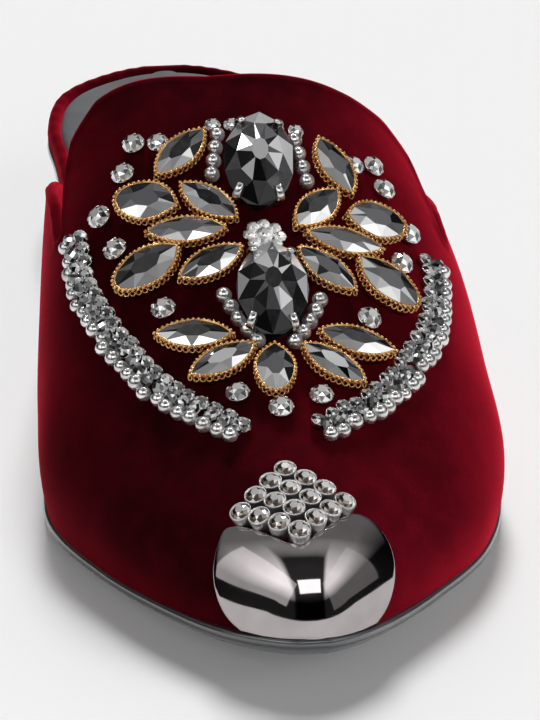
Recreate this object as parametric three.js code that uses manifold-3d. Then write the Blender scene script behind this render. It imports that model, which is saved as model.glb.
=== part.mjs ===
// Left velvet mule: open back, pointed toe, high slipper tongue, low heel and a jewelled vamp.
// Millimetres, +Z up. The toe points to -Y and the outer side of the foot is +X.
// Inside this file a place on the shoe is (x, y, z), with y measured back from the toe tip.

import * as THREE from 'three';
import Module from 'manifold-3d';

const wasm = await Module();
wasm.setup();

// Driving dimensions
const LENGTH = 262; // outsole, toe tip to back of heel
const GAP = 0.3; // between pieces that touch
const SOLE_THICK = 3.4; // outsole
const SOLE_BEVEL = 1.2; // the outsole's lower edge is cut in by this much
const SOLE_ARRIS = 0.3; // and its upper edge by this
const SOLE_EDGE = 0.45; // share of the thickness at which the outsole is widest
const TOE_SPRING = 5; // rise of the outsole's underside at the toe tip
const TREAD_FROM = 62; // flat tread under the ball, measured from the toe
const TREAD_TO = 112;
const HEEL_RISE = 15; // floor to the outsole's underside at the heel seat
const SEAT_FROM = 204; // the level heel seat starts here
const HEEL_BREAST = 208; // front face of the heel block
const LIFT_THICK = 3; // top lift under the heel block
const HEEL_INSET = 4.5; // heel block inside the edge of the seat
const HEEL_TAPER = 1.5; // further in at the floor
const WALL = 2.2; // velvet, backing and lining of the upper
const FEATHER_INSET = 0.5; // lower edge of the upper inside the outsole's edge
const TOE_LEDGE = 2.2; // the upper's tip is this far back, so the outsole shows as a ledge at the toe
const LEDGE_FADE = 45; // the ledge has faded out here
const BULGE = 2.2; // how far the upper swells out over that edge
const INSOLE_THICK = 3;
const INSOLE_INSET = 4.2; // insole inside the outsole's edge
const BINDING_WIDTH = 3.4; // velvet binding round the heel seat
const BINDING_HEIGHT = 3.8;
const TAIL_END = 188; // the quarters end here, where the binding starts
const SLIT_END = 104; // bottom of the slits between tongue and quarters
const CAP_LIFT = 0.4; // toe cap off the velvet
const CAP_THICK = 0.9;
const ORNAMENT_TURN = THREE.MathUtils.degToRad(5.4); // of the ornament's middle line against the crest
const ORNAMENT_ASIDE = -4.5; // where that line would start at the toe tip
const BEAD = 2.8; // diameter of a bead in the strings
const STRING_SIDES = 6; // of the beads
const GARLAND_WIDTH = 6.6;
const GARLAND_BEAD = 3; // length of one bead along a garland
const CUP_PITCH = 4.1; // between the toe crystals
const CUP_SIZE = 4.5; // the cups touch and run into each other
const CUP_ROWS = 4;
const CUPS_UP = 25.6; // middle of the toe crystals, in millimetres of velvet from the toe tip
const CUPS_ASIDE = 0.6; // and to the outer side of the ornament's middle line
const CUPS_TURN = THREE.MathUtils.degToRad(5.5); // of the square of crystals against that line

// A short table with named columns becomes a list of rows
function table(columns, rows) {
  return rows.map((row) => Object.fromEntries(columns.map((name, i) => [name, row[i]])));
}

// Sections of the last: half widths at the outsole's edge, crest height over the outsole,
// shift of the crest (minus is to the inner side) and squareness of the arch
const LAST = table(
  ['from_toe', 'inner', 'outer', 'crest', 'lean', 'square'],
  [
    [0, 0, 0, 0, 0, 2],
    [3, 8.4, 7.8, 9, 0, 2],
    [10, 16.3, 15.2, 15, 0, 2],
    [24, 25.1, 25.6, 21, -0.5, 2.05],
    [44, 35, 37.8, 28, -1, 2.15],
    [66, 42.1, 44.1, 37, -2, 2.35],
    [88, 41.2, 44.6, 47, -3.5, 2.6],
    [110, 38.4, 44.2, 58, -5, 2.9],
    [130, 35.6, 41.4, 67, -5.5, 3],
    [155, 32, 37, 79, -4, 2.8],
    [185, 28.8, 31.6, 88, -3, 2.4],
    [210, 28.4, 29, 92, -2, 2.3],
    [228, 28.6, 28.2, 94, -1, 2.2],
    [246, 24.3, 23.2, 94, 0, 2.2],
    [257, 14.1, 13.4, 94, 0, 2.2],
    [262, 0, 0, 94, 0, 2.2],
  ],
);

// Back edge of the upper: distance from the toe against the column on the inner and outer side,
// where column 0 is at the outsole and 1 at the crest. It runs from the tail up the quarter to its
// corner, down into the slit, and up round the tongue; the outer side is cut lower.
const TOPLINE = table(
  ['from_toe', 'inner', 'outer'],
  [
    [TAIL_END, 0, 0],
    [TAIL_END, 0.02, 0.02],
    [171, 0.105, 0.095],
    [151, 0.235, 0.205],
    [135, 0.34, 0.295],
    [124, 0.405, 0.355],
    [118, 0.433, 0.38],
    [SLIT_END, 0.456, 0.403],
    [117, 0.48, 0.424],
    [124.5, 0.515, 0.443],
    [127.2, 0.62, 0.515],
    [125.7, 1, 1],
  ],
);

// Section of the binding: distance in from the outsole's edge against share of its height
const BINDING_SECTION = table(
  ['inset', 'share'],
  [
    [0.4, 0],
    [0.1, 0.35],
    [0.3, 0.8],
    [1.3, 1],
    [2.6, 0.97],
    [BINDING_WIDTH + 0.4, 0.75],
    [BINDING_WIDTH + 0.4, 0.3],
    [BINDING_WIDTH + 0.2, 0],
  ],
);

// Back edge of the toe cap, by signed column: a shield with a notch under the crystals at its top
const CAP_EDGE = table(
  ['signed', 'from_toe'],
  [
    [-1, 8],
    [-0.915, 10],
    [-0.74, 13],
    [-0.54, 16.3],
    [-0.43, 18.6],
    [-0.39, 18.8],
    [-0.35, 17],
    [-0.3, 14.8],
    [-0.255, 13],
    [-0.205, 11.2],
    [-0.14, 9.5],
    [-0.06, 8.9],
    [0, 9.3],
    [0.05, 10.9],
    [0.125, 12.2],
    [0.19, 14.4],
    [0.25, 16.8],
    [0.29, 18],
    [0.36, 18.4],
    [0.54, 16.3],
    [0.74, 13],
    [0.915, 10],
    [1, 8],
  ],
);

// The ornament lies on the vamp, much the same on both sides of its middle line. Its places are
// millimetres of velvet: aside from the middle line, and up from the toe tip towards the tongue.
// Gold-edged stones: turns are in degrees from outwards to the tongue, the tips are 0 round to 1 pointed.
const GOLD_PAIRS = table(
  ['name', 'aside', 'up', 'length', 'width', 'turn', 'inner_turn', 'near_tip', 'far_tip'],
  [
    ['gold_navette_1', 14.4, 117.5, 14.6, 6.6, -57, -50, 0.7, 0.7],
    ['gold_pear_1', 21.2, 106.4, 12.6, 9.2, 20, 25, 0.9, 0],
    ['gold_navette_2', 10, 105, 13.6, 6.6, 58, 40, 0.7, 0.7],
    ['gold_navette_3', 14.5, 97.8, 15, 6.4, 3, 2, 0.7, 0.7],
    ['gold_pear_2', 22, 90.4, 14.6, 9.2, -30, -26, 0.9, 0],
    ['gold_navette_4', 10.6, 89.2, 14.2, 6.6, -38, -33, 0.7, 0.7],
    ['gold_navette_5', 14.7, 71.5, 14.6, 6.8, -3, 11, 0.7, 0.7],
    ['gold_navette_6', 9.9, 64.3, 14, 6.6, -33, -28, 0.7, 0.7],
  ],
);
const GOLD_DROP = { aside: -0.7, up: 61.8, length: 12.6, width: 7.4, turn: -90, near_tip: 0.9, far_tip: 0 };

const OVALS = table(
  ['name', 'up'],
  [
    ['oval_stone_top', 115.1],
    ['oval_stone_low', 81.6],
  ],
);
const OVAL = { aside: 0, length: 23.6, width: 13.4, turn: 90, near_tip: 0, far_tip: 0.2 };
const CLUSTER = { aside: 0, up: 98, length: 8.6, width: 8.6, turn: 0, near_tip: 0, far_tip: 0 };

const CRYSTAL_PAIRS = table(
  ['name', 'across', 'inner_aside', 'inner_up', 'outer_aside', 'outer_up'],
  [
    ['crystal_1', 3.2, 4.2, 126.4, 4.2, 126.4],
    ['crystal_2', 3.2, 7.9, 126.2, 7.9, 126.2],
    ['crystal_3', 4.2, 18.4, 121.8, 18.9, 121.2],
    ['crystal_4', 4.4, 23, 122.8, 23.2, 123.9],
    ['crystal_5', 4.6, 25.4, 116, 25, 118.6],
    ['crystal_6', 4.8, 30.8, 108.4, 29.6, 110],
    ['crystal_7', 4.8, 28.1, 98.8, 26.6, 99.8],
    ['crystal_8', 4.8, 20, 80.5, 18, 80.2],
    ['crystal_9', 4.6, 7.6, 56.9, 7.6, 56.9],
  ],
);
const CRYSTAL_LOW = { aside: 0, up: 52.8, across: 4.8 };

// Layers of a stone from the velvet up: share of its outline against height
const LAYERS = {
  gold: table(['share', 'height'], [[1, 0], [1, 2.6], [0.82, 2.9], [0.42, 4.2]]),
  oval: table(['share', 'height'], [[0.84, 0], [1, 3.6], [0.78, 5.4], [0.5, 6.5]]),
  cluster: table(['share', 'height'], [[1, 0], [1, 2.2], [0.7, 3.4], [0.3, 3.8]]),
  crystal: table(['share', 'height'], [[1, 0], [1, 1.9], [0.5, 3]]),
  cup: table(['share', 'height'], [[1, 0], [1, 2.4], [0.5, 3.1]]),
};

// Strings and garlands follow these lines
const STRING_HIGH = table(['aside', 'up'], [[7.3, 122.9], [7.8, 119.6], [8.4, 116], [8.9, 112.6]]);
const STRING_LOW = table(['aside', 'up'], [[8.8, 81.6], [8.2, 78.6], [6.9, 74.6], [5.4, 71.6], [3.4, 69.9]]);
const GARLANDS = {
  inner: table(
    ['aside', 'up'],
    [
      [37.1, 106.8],
      [37.9, 100.2],
      [34.6, 89],
      [30.7, 78.1],
      [26.6, 69],
      [21.7, 60.8],
      [16.6, 54.8],
      [11.5, 49.9],
      [8.2, 47.4],
    ],
  ),
  outer: table(
    ['aside', 'up'],
    [
      [34.3, 105.4],
      [35.1, 98.7],
      [31.7, 86.4],
      [27.5, 75],
      [23.2, 66.3],
      [18.2, 58.5],
      [13.3, 52.6],
      [9.5, 49.7],
      [7.4, 48],
    ],
  ),
};

// Section of a garland: share of its width against height, three beads side by side
const GARLAND_SECTION = table(
  ['share', 'height', 'bead'],
  [
    [-0.5, 0, 0],
    [-0.5, 1.2, 0],
    [-0.33, 2.1, 0.5],
    [0, 2.4, 0.7],
    [0.33, 2.1, 0.5],
    [0.5, 1.2, 0],
    [0.5, 0, 0],
    [0, 0, 0],
  ],
);

// Smooth curve through table rows, with tangents from the neighbouring rows
function curve(rows, key, value, knot = (t) => t) {
  const xs = rows.map((row) => knot(row[key]));
  const ys = rows.map((row) => row[value]);
  const last = xs.length - 1;
  const slope = xs.map((x, i) => {
    const a = Math.max(i - 1, 0);
    const b = Math.min(i + 1, last);
    return (ys[b] - ys[a]) / (xs[b] - xs[a]);
  });
  return (at) => {
    const x = Math.min(Math.max(knot(at), xs[0]), xs[last]);
    let i = 0;
    while (i < last - 1 && x > xs[i + 1]) i += 1;
    const span = xs[i + 1] - xs[i];
    const t = (x - xs[i]) / span;
    const a = ys[i] * (1 + 2 * t) * (1 - t) ** 2 + slope[i] * span * t * (1 - t) ** 2;
    const b = ys[i + 1] * t * t * (3 - 2 * t) + slope[i + 1] * span * t * t * (t - 1);
    return a + b;
  };
}

// Straight stretches between table rows
function polyline(rows, key, value) {
  return (at) => {
    let i = 0;
    while (i < rows.length - 2 && at > rows[i + 1][key]) i += 1;
    const t = (at - rows[i][key]) / (rows[i + 1][key] - rows[i][key]);
    return rows[i][value] + Math.min(Math.max(t, 0), 1) * (rows[i + 1][value] - rows[i][value]);
  };
}

// Stations crowd together at toe and heel, so both ends come out round
const stationAngle = (y) => Math.acos(Math.min(Math.max(1 - (2 * y) / LENGTH, -1), 1));
const stationAt = (angle) => (LENGTH / 2) * (1 - Math.cos(angle));
const lastCurve = (name) => curve(LAST, 'from_toe', name, stationAngle);
const innerEdge = lastCurve('inner');
const outerEdge = lastCurve('outer');
const crestHeight = lastCurve('crest');
const crestLean = lastCurve('lean');
const archSquare = lastCurve('square');
const innerTopline = polyline(TOPLINE, 'inner', 'from_toe');
const outerTopline = polyline(TOPLINE, 'outer', 'from_toe');
const topline = (signed) => (signed < 0 ? innerTopline : outerTopline)(1 - Math.abs(signed));
const capEdge = polyline(CAP_EDGE, 'signed', 'from_toe');

// The upper's tip, where its first section closes to a point
const UPPER_TIP = TOE_LEDGE;

const smooth = (t) => {
  const c = Math.min(Math.max(t, 0), 1);
  return c * c * (3 - 2 * c);
};

// How far the upper lies back from the outsole's edge, fading out from the toe
const ledgeAt = (y) => TOE_LEDGE * (1 - smooth(y / LEDGE_FADE));

// Underside and top of the outsole
function soleBottom(y) {
  const spring = TOE_SPRING * Math.max(0, 1 - y / TREAD_FROM) ** 2;
  return spring + HEEL_RISE * smooth((y - TREAD_TO) / (SEAT_FROM - TREAD_TO));
}
const soleTop = (y) => soleBottom(y) + SOLE_THICK;

// A point of the upper's outer face: y from the toe, side +1 outer or -1 inner, column 0 to 1
function upperPoint(y, side, column) {
  const turn = (Math.PI / 2) * column;
  const station = Math.max(y - ledgeAt(y), 0);
  const square = archSquare(station);
  const reach = (Math.max(Math.cos(turn), 0) ** square + Math.sin(turn) ** square) ** (-1 / square);
  const across = reach * Math.max(Math.cos(turn), 0);
  const up = reach * Math.sin(turn);
  const edge = side > 0 ? outerEdge(station) : innerEdge(station);
  const half = edge - FEATHER_INSET * Math.min(1, station / 3);
  const swell = BULGE * smooth(station / 45) * 4 * up * (1 - up);
  const x = side * (half + swell) * across + crestLean(station) * up * up;
  return new THREE.Vector3(x, y, soleTop(y) + GAP + crestHeight(station) * up);
}

// Signed columns run from -1 (inner edge) over 0 (crest) to +1 (outer edge)
function upperAt(y, signed) {
  const side = signed < 0 ? -1 : 1;
  return upperPoint(y, side, 1 - Math.abs(signed));
}

// Outward normal of the upper from its two tangents
function upperNormal(y, signed) {
  const stepY = 0.05;
  const stepC = 0.002;
  const y0 = Math.max(y - stepY, UPPER_TIP + 0.02);
  const c0 = Math.max(signed - stepC, -1);
  const c1 = Math.min(signed + stepC, 1);
  const alongY = upperAt(y + stepY, signed).sub(upperAt(y0, signed));
  const alongC = upperAt(y, c1).sub(upperAt(y, c0));
  return alongC.cross(alongY).normalize();
}

// A point moved off the upper, and kept level where it stands on the outsole
function upperOffset(y, signed, distance) {
  const normal = upperNormal(y, signed);
  if (Math.abs(signed) > 0.999) normal.setZ(0).normalize();
  return upperAt(y, signed).addScaledVector(normal, distance);
}

// A closed geometry from points and triangles, turned so that its faces point out
function closedGeometry(points, triangles) {
  let volume = 0;
  for (const [a, b, c] of triangles) {
    volume += points[a].dot(points[b].clone().cross(points[c]));
  }
  const faces = volume < 0 ? triangles.map(([a, b, c]) => [a, c, b]) : triangles;
  const geometry = new THREE.BufferGeometry();
  geometry.setAttribute('position', new THREE.Float32BufferAttribute(points.flatMap((p) => p.toArray()), 3));
  geometry.setIndex(faces.flat());
  return geometry;
}

// Rings of equal count are joined in order, and the first and last are closed by a ladder of faces
function loft(rings) {
  const count = rings[0].length;
  const triangles = [];
  const quad = (a, b, c, d) => triangles.push([a, b, c], [a, c, d]);
  for (let r = 0; r < rings.length - 1; r += 1) {
    for (let i = 0; i < count; i += 1) {
      const j = (i + 1) % count;
      quad(r * count + i, r * count + j, (r + 1) * count + j, (r + 1) * count + i);
    }
  }
  const top = (rings.length - 1) * count;
  for (let i = 0; i < count / 2 - 1; i += 1) {
    quad(i + 1, i, count - 1 - i, count - 2 - i);
    quad(top + i, top + i + 1, top + count - 2 - i, top + count - 1 - i);
  }
  return closedGeometry(rings.flat(), triangles);
}

// A thin wall between an outer and an inner grid; row 0 of each grid is one point, the toe tip
function shell(outer, inner) {
  const columns = outer[1].length;
  const points = [outer[0][0], inner[0][0]];
  const index = [[], []];
  [outer, inner].forEach((grid, face) => {
    grid.forEach((row, r) => {
      index[face].push(row.map((point) => (r === 0 ? face : points.push(point) - 1)));
    });
    index[face][0] = Array(columns).fill(face);
  });
  const triangles = [];
  const quad = (a, b, c, d) => {
    if (a !== b) triangles.push([a, b, c]);
    triangles.push([a, c, d]);
  };
  const [out, inn] = index;
  for (let r = 0; r < out.length - 1; r += 1) {
    for (let c = 0; c < columns - 1; c += 1) {
      quad(out[r][c], out[r][c + 1], out[r + 1][c + 1], out[r + 1][c]);
      quad(inn[r][c + 1], inn[r][c], inn[r + 1][c], inn[r + 1][c + 1]);
    }
    triangles.push([out[r][0], out[r + 1][0], inn[r + 1][0]], [out[r][0], inn[r + 1][0], inn[r][0]]);
    const e = columns - 1;
    triangles.push([out[r + 1][e], out[r][e], inn[r + 1][e]], [out[r][e], inn[r][e], inn[r + 1][e]]);
  }
  const z = out.length - 1;
  for (let c = 0; c < columns - 1; c += 1) {
    triangles.push([out[z][c], out[z][c + 1], inn[z][c + 1]], [out[z][c], inn[z][c + 1], inn[z][c]]);
  }
  return closedGeometry(points, triangles);
}

// Evenly spaced numbers, both ends among them
function steps(from, to, count) {
  return Array.from({ length: count + 1 }, (_, i) => from + ((to - from) * i) / count);
}

// Plan of the outsole, drawn in by an inset and by a share of the ledge at the toe:
// the outer side from toe to heel, then the inner side back
function soleRing(inset, height, from = 0, count = 34, ledge = 0) {
  const first = Math.max(stationAngle(from), 0.07);
  const angles = steps(first, Math.PI - 0.07, count);
  const drawnIn = (angle, edge, side) => {
    const y = stationAt(angle);
    const ahead = stationAt(angle + 0.01);
    const behind = stationAt(angle - 0.01);
    const tangent = new THREE.Vector2(edge(ahead) - edge(behind), ahead - behind).normalize();
    const inward = new THREE.Vector2(-tangent.y, tangent.x);
    const drawn = inset + ledge * ledgeAt(y);
    const at = new THREE.Vector2(edge(y), y).addScaledVector(inward, drawn);
    return new THREE.Vector3(side * at.x, at.y, height(at.y));
  };
  const outer = angles.map((angle) => drawnIn(angle, outerEdge, 1));
  const inner = angles.map((angle) => drawnIn(angle, innerEdge, -1)).reverse();
  return [...outer, ...inner];
}

function outsoleGeometry() {
  const midHeight = (y) => soleBottom(y) + SOLE_THICK * SOLE_EDGE;
  return loft([soleRing(SOLE_BEVEL, soleBottom), soleRing(0, midHeight), soleRing(SOLE_ARRIS, soleTop)]);
}

function heelGeometry(from, to, insetFrom, insetTo) {
  const ring = (inset, z) => {
    const points = soleRing(inset, () => z, HEEL_BREAST, 14);
    points[0].setY(HEEL_BREAST);
    points[points.length - 1].setY(HEEL_BREAST);
    return points;
  };
  return loft([ring(insetFrom, from), ring(insetTo, to)]);
}

function insoleGeometry() {
  const low = (y) => soleTop(y) + GAP;
  const high = (y) => low(y) + INSOLE_THICK;
  const ring = (height) => soleRing(INSOLE_INSET, height, 0, 34, 1);
  return loft([ring(low), ring(high)]);
}

// The binding runs round the heel seat from the outer tail to the inner tail
function bindingGeometry() {
  const base = (y) => soleTop(y) + GAP;
  const paths = BINDING_SECTION.map(({ inset, share }) =>
    soleRing(inset, (y) => base(y) + BINDING_HEIGHT * share, TAIL_END + 2 * GAP, 22),
  );
  const rings = paths[0].map((_, i) => paths.map((path) => path[i]));
  return loft(rings);
}

// Columns of one half of the upper, from the outsole to the crest, close together at the slit
function halfColumns(side) {
  const slit = TOPLINE.find((row) => row.from_toe === SLIT_END)[side];
  return [...steps(0, slit - 0.07, 8), ...steps(slit - 0.045, slit + 0.06, 8), ...steps(slit + 0.11, 1, 7)];
}
function bothSides(inner, outer) {
  const back = outer.slice(0, -1).reverse();
  return [...inner.map((c) => c - 1), ...back.map((c) => 1 - c)];
}

// Grid of the upper's outer face, or of a face inside or outside it
function upperGrid(columns, rearEdge, rows, plain, distance) {
  const tip = new THREE.Vector3(0, UPPER_TIP - distance, soleTop(UPPER_TIP) + GAP);
  const grid = [[tip]];
  rows.forEach((share) => {
    grid.push(
      columns.map((signed) => {
        const rear = rearEdge(signed);
        const near = UPPER_TIP + (plain - UPPER_TIP) * share * share;
        const far = plain + (rear - plain) * (share - 1);
        const y = share <= 1 ? near : far;
        return upperOffset(y, signed, distance);
      }),
    );
  });
  return grid;
}

function upperGeometry() {
  const columns = bothSides(halfColumns('inner'), halfColumns('outer'));
  const plain = 99;
  const rows = [...steps(0.11, 1, 11), ...steps(1.2, 2, 4)];
  const outer = upperGrid(columns, topline, rows, plain, 0);
  const inner = upperGrid(columns, topline, rows, plain, -WALL);
  return shell(outer, inner);
}

function toeCapGeometry() {
  const columns = CAP_EDGE.map((row) => row.signed);
  const rows = steps(1 / 6, 1, 5).map((share) => 1 + share * share);
  const outer = upperGrid(columns, capEdge, rows, UPPER_TIP, CAP_LIFT + CAP_THICK);
  const inner = upperGrid(columns, capEdge, rows, UPPER_TIP, CAP_LIFT);
  return shell(outer, inner);
}

// How far a walk along a line of points gets, from a start and in small steps
function walk(pointAt, from, step, distance) {
  let at = from;
  let left = distance;
  let here = pointAt(at);
  let next = pointAt(at + step);
  while (next.distanceTo(here) < left) {
    left -= next.distanceTo(here);
    at += step;
    here = next;
    next = pointAt(at + step);
  }
  return at + (step * left) / next.distanceTo(here);
}

// Distances along the crest, measured on the velvet from the toe tip
const crestRows = [{ along: 0, y: UPPER_TIP }];
for (const y of steps(UPPER_TIP + 0.2, TREAD_TO + HEEL_RISE, 600)) {
  const before = crestRows[crestRows.length - 1];
  const along = before.along + upperAt(y, 0).distanceTo(upperAt(before.y, 0));
  crestRows.push({ along, y });
}
const crestStation = polyline(crestRows, 'along', 'y');

// A place of the ornament on the velvet, with the way out from it
function velvet(aside, up) {
  const along = up * Math.cos(ORNAMENT_TURN) - aside * Math.sin(ORNAMENT_TURN);
  const across = ORNAMENT_ASIDE + aside * Math.cos(ORNAMENT_TURN) + up * Math.sin(ORNAMENT_TURN);
  const y = crestStation(along);
  const step = across < 0 ? -0.01 : 0.01;
  const signed = walk((c) => upperAt(y, c), 0, step, Math.abs(across));
  return { point: upperAt(y, signed), normal: upperNormal(y, signed) };
}

// Axes of a stone on the velvet; on the inner side its own turn is mirrored
function setting(place, side) {
  const aside = side * place.aside;
  const { point, normal } = velvet(aside, place.up);
  const outward = velvet(aside + 0.5, place.up).point.sub(velvet(aside - 0.5, place.up).point);
  outward.addScaledVector(normal, -outward.dot(normal)).normalize();
  const upward = normal.clone().cross(outward);
  const turn = THREE.MathUtils.degToRad(side > 0 ? place.turn : 180 - (place.inner_turn ?? place.turn));
  const long = outward.clone().applyAxisAngle(normal, turn);
  return { aside, up: place.up, point, normal, outward, upward, long, wide: normal.clone().cross(long) };
}

// The point of the velvet straight under a point of a stone
function velvetUnder(set, target) {
  let { aside, up } = set;
  let found = set.point;
  for (let i = 0; i < 6; i += 1) {
    const miss = target.clone().sub(found);
    aside += miss.dot(set.outward);
    up += miss.dot(set.upward);
    found = velvet(aside, up).point;
  }
  return found;
}

// A stone from its outline and layers; its lowest layer follows the velvet
function stone(place, side, layers, count) {
  const set = setting(place, side);
  const at = (i, share) => {
    const angle = ((i + 0.5) / count) * 2 * Math.PI;
    const far = (1 + Math.cos(angle)) / 2;
    const power = 1 + place.far_tip * far + place.near_tip * (1 - far);
    const v = (place.width / 2) * Math.sign(Math.sin(angle)) * Math.abs(Math.sin(angle)) ** power;
    const u = (place.length / 2) * Math.cos(angle);
    return set.point.clone().addScaledVector(set.long, u * share).addScaledVector(set.wide, v * share);
  };
  const rings = layers.map(({ share, height }) =>
    steps(0, count - 1, count - 1).map((i) => {
      const point = height > 0 ? at(i, share) : velvetUnder(set, at(i, share));
      return point.addScaledVector(set.normal, GAP + height);
    }),
  );
  return loft(rings);
}

// A round stone, turned so that two of its eight sides face the tongue and the toe
function roundStone(place) {
  const turn = 22.5;
  return { ...place, length: place.across, width: place.across, turn, near_tip: 0, far_tip: 0 };
}

// Points along a line of the ornament, evenly spaced, each with its two directions
function trail(rows, side, spacing) {
  const line = rows.map((row) => new THREE.Vector2(side * row.aside, row.up));
  const path = new THREE.SplineCurve(line);
  const count = Math.round(path.getLength() / spacing);
  return steps(0, 1, count).map((share) => {
    const at = path.getPointAt(share);
    const ahead = path.getTangentAt(share);
    return { at, beside: new THREE.Vector2(ahead.y, -ahead.x) };
  });
}

// A point beside a trail and over the velvet
function overTrail({ at, beside }, aside, height) {
  const { point, normal } = velvet(at.x + beside.x * aside, at.y + beside.y * aside);
  return point.addScaledVector(normal, GAP + height);
}

// Three stretches to each bead, so that it swells and narrows
function beadString(rows, side) {
  const swell = [0.5, 0.95, 0.95];
  const places = trail(rows, side, BEAD / swell.length);
  const rings = places.map((place, i) => {
    const radius = (BEAD / 2) * swell[i % swell.length];
    return steps(0, STRING_SIDES - 1, STRING_SIDES - 1).map((k) => {
      const angle = ((k + 0.5) / STRING_SIDES) * 2 * Math.PI;
      return overTrail(place, radius * Math.cos(angle), BEAD / 2 + radius * Math.sin(angle));
    });
  });
  return loft(rings);
}

function garland(rows, side) {
  const rings = trail(rows, side, GARLAND_BEAD).map((place, i) =>
    GARLAND_SECTION.map(({ share, height, bead }) =>
      overTrail(place, GARLAND_WIDTH * share, height + (i % 2) * bead),
    ),
  );
  return loft(rings);
}

function solid(geometry) {
  const vertProperties = geometry.getAttribute('position').array;
  const triVerts = Uint32Array.from(geometry.getIndex().array);
  return new wasm.Manifold(new wasm.Mesh({ numProp: 3, vertProperties, triVerts }));
}

// Rows of cups in a square that stands on its corner
function toeCrystals() {
  const half = (CUP_ROWS - 1) / 2;
  const reach = CUP_PITCH / Math.SQRT2;
  const rows = steps(-half, half, CUP_ROWS - 1);
  const middle = new THREE.Vector2();
  const cups = rows.flatMap((a) =>
    rows.map((b) => {
      const at = new THREE.Vector2((a - b) * reach, (a + b) * reach).rotateAround(middle, CUPS_TURN);
      const place = roundStone({ aside: CUPS_ASIDE + at.x, up: CUPS_UP + at.y, across: CUP_SIZE });
      return solid(stone(place, 1, LAYERS.cup, 8));
    }),
  );
  const mesh = wasm.Manifold.union(cups).getMesh();
  const geometry = new THREE.BufferGeometry();
  geometry.setAttribute('position', new THREE.Float32BufferAttribute(mesh.vertProperties, 3));
  geometry.setIndex(Array.from(mesh.triVerts));
  return geometry;
}

const finish = {
  velvet: { color: 0x5e0d18, roughness: 0.95, metalness: 0 },
  rubber: { color: 0x26262a, roughness: 0.6, metalness: 0 },
  heel: { color: 0x1d1c1f, roughness: 0.5, metalness: 0 },
  sock: { color: 0x55535a, roughness: 0.8, metalness: 0 },
  gunmetal: { color: 0x6b6467, roughness: 0.15, metalness: 1 },
  gold: { color: 0xc08f45, roughness: 0.25, metalness: 1 },
  silver: { color: 0xc4c2bf, roughness: 0.2, metalness: 1 },
  smoke: { color: 0x3c3c41, roughness: 0.2, metalness: 0 },
  stone: { color: 0x2c2c31, roughness: 0.1, metalness: 0 },
  crystal: { color: 0xa9a6a2, roughness: 0.1, metalness: 0 },
};

const shoe = new THREE.Group();

function add(name, geometry, look) {
  const mesh = new THREE.Mesh(geometry, new THREE.MeshStandardMaterial(finish[look]));
  mesh.name = name;
  shoe.add(mesh);
}

add('outsole', outsoleGeometry(), 'rubber');
const blockTop = HEEL_RISE - GAP;
add('heel_block', heelGeometry(LIFT_THICK + GAP, blockTop, HEEL_INSET + HEEL_TAPER, HEEL_INSET), 'heel');
add('top_lift', heelGeometry(0, LIFT_THICK, HEEL_INSET + HEEL_TAPER, HEEL_INSET + HEEL_TAPER), 'rubber');
add('insole', insoleGeometry(), 'sock');
add('seat_binding', bindingGeometry(), 'velvet');
add('upper', upperGeometry(), 'velvet');
add('toe_cap', toeCapGeometry(), 'gunmetal');
add('toe_crystals', toeCrystals(), 'crystal');

for (const { name, up } of OVALS) {
  add(name, stone({ ...OVAL, up }, 1, LAYERS.oval, 14), 'stone');
}
add('centre_cluster', stone(CLUSTER, 1, LAYERS.cluster, 12), 'crystal');
add('gold_drop', stone(GOLD_DROP, 1, LAYERS.gold, 12), 'gold');
add('crystal_low', stone(roundStone(CRYSTAL_LOW), 1, LAYERS.crystal, 8), 'crystal');

for (const [label, side] of [['inner', -1], ['outer', 1]]) {
  for (const place of GOLD_PAIRS) {
    add(`${place.name}_${label}`, stone(place, side, LAYERS.gold, 12), 'gold');
  }
  for (const { name, across, ...places } of CRYSTAL_PAIRS) {
    const place = roundStone({ across, aside: places[`${label}_aside`], up: places[`${label}_up`] });
    add(`${name}_${label}`, stone(place, side, LAYERS.crystal, 8), 'crystal');
  }
  add(`beads_high_${label}`, beadString(STRING_HIGH, side), 'silver');
  add(`beads_low_${label}`, beadString(STRING_LOW, side), 'silver');
  add(`garland_${label}`, garland(GARLANDS[label], side), 'smoke');
}

// The origin is under the middle of the shoe, on the floor
const middle = new THREE.Box3().setFromObject(shoe).getCenter(new THREE.Vector3());
shoe.position.set(-middle.x, -middle.y, 0);

export default shoe;
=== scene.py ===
# %% [markdown]
# # A jewelled velvet mule
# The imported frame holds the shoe's solids: outsole, heel, insole, upper, toe cap and every stone.
# This lesson dresses them in velvet, lining, metal and cut stone, one piece at a time.
# Everything is in the frame's own axes: the toe points to -Y, the outer side is +X, the floor is Z = 0.

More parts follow.
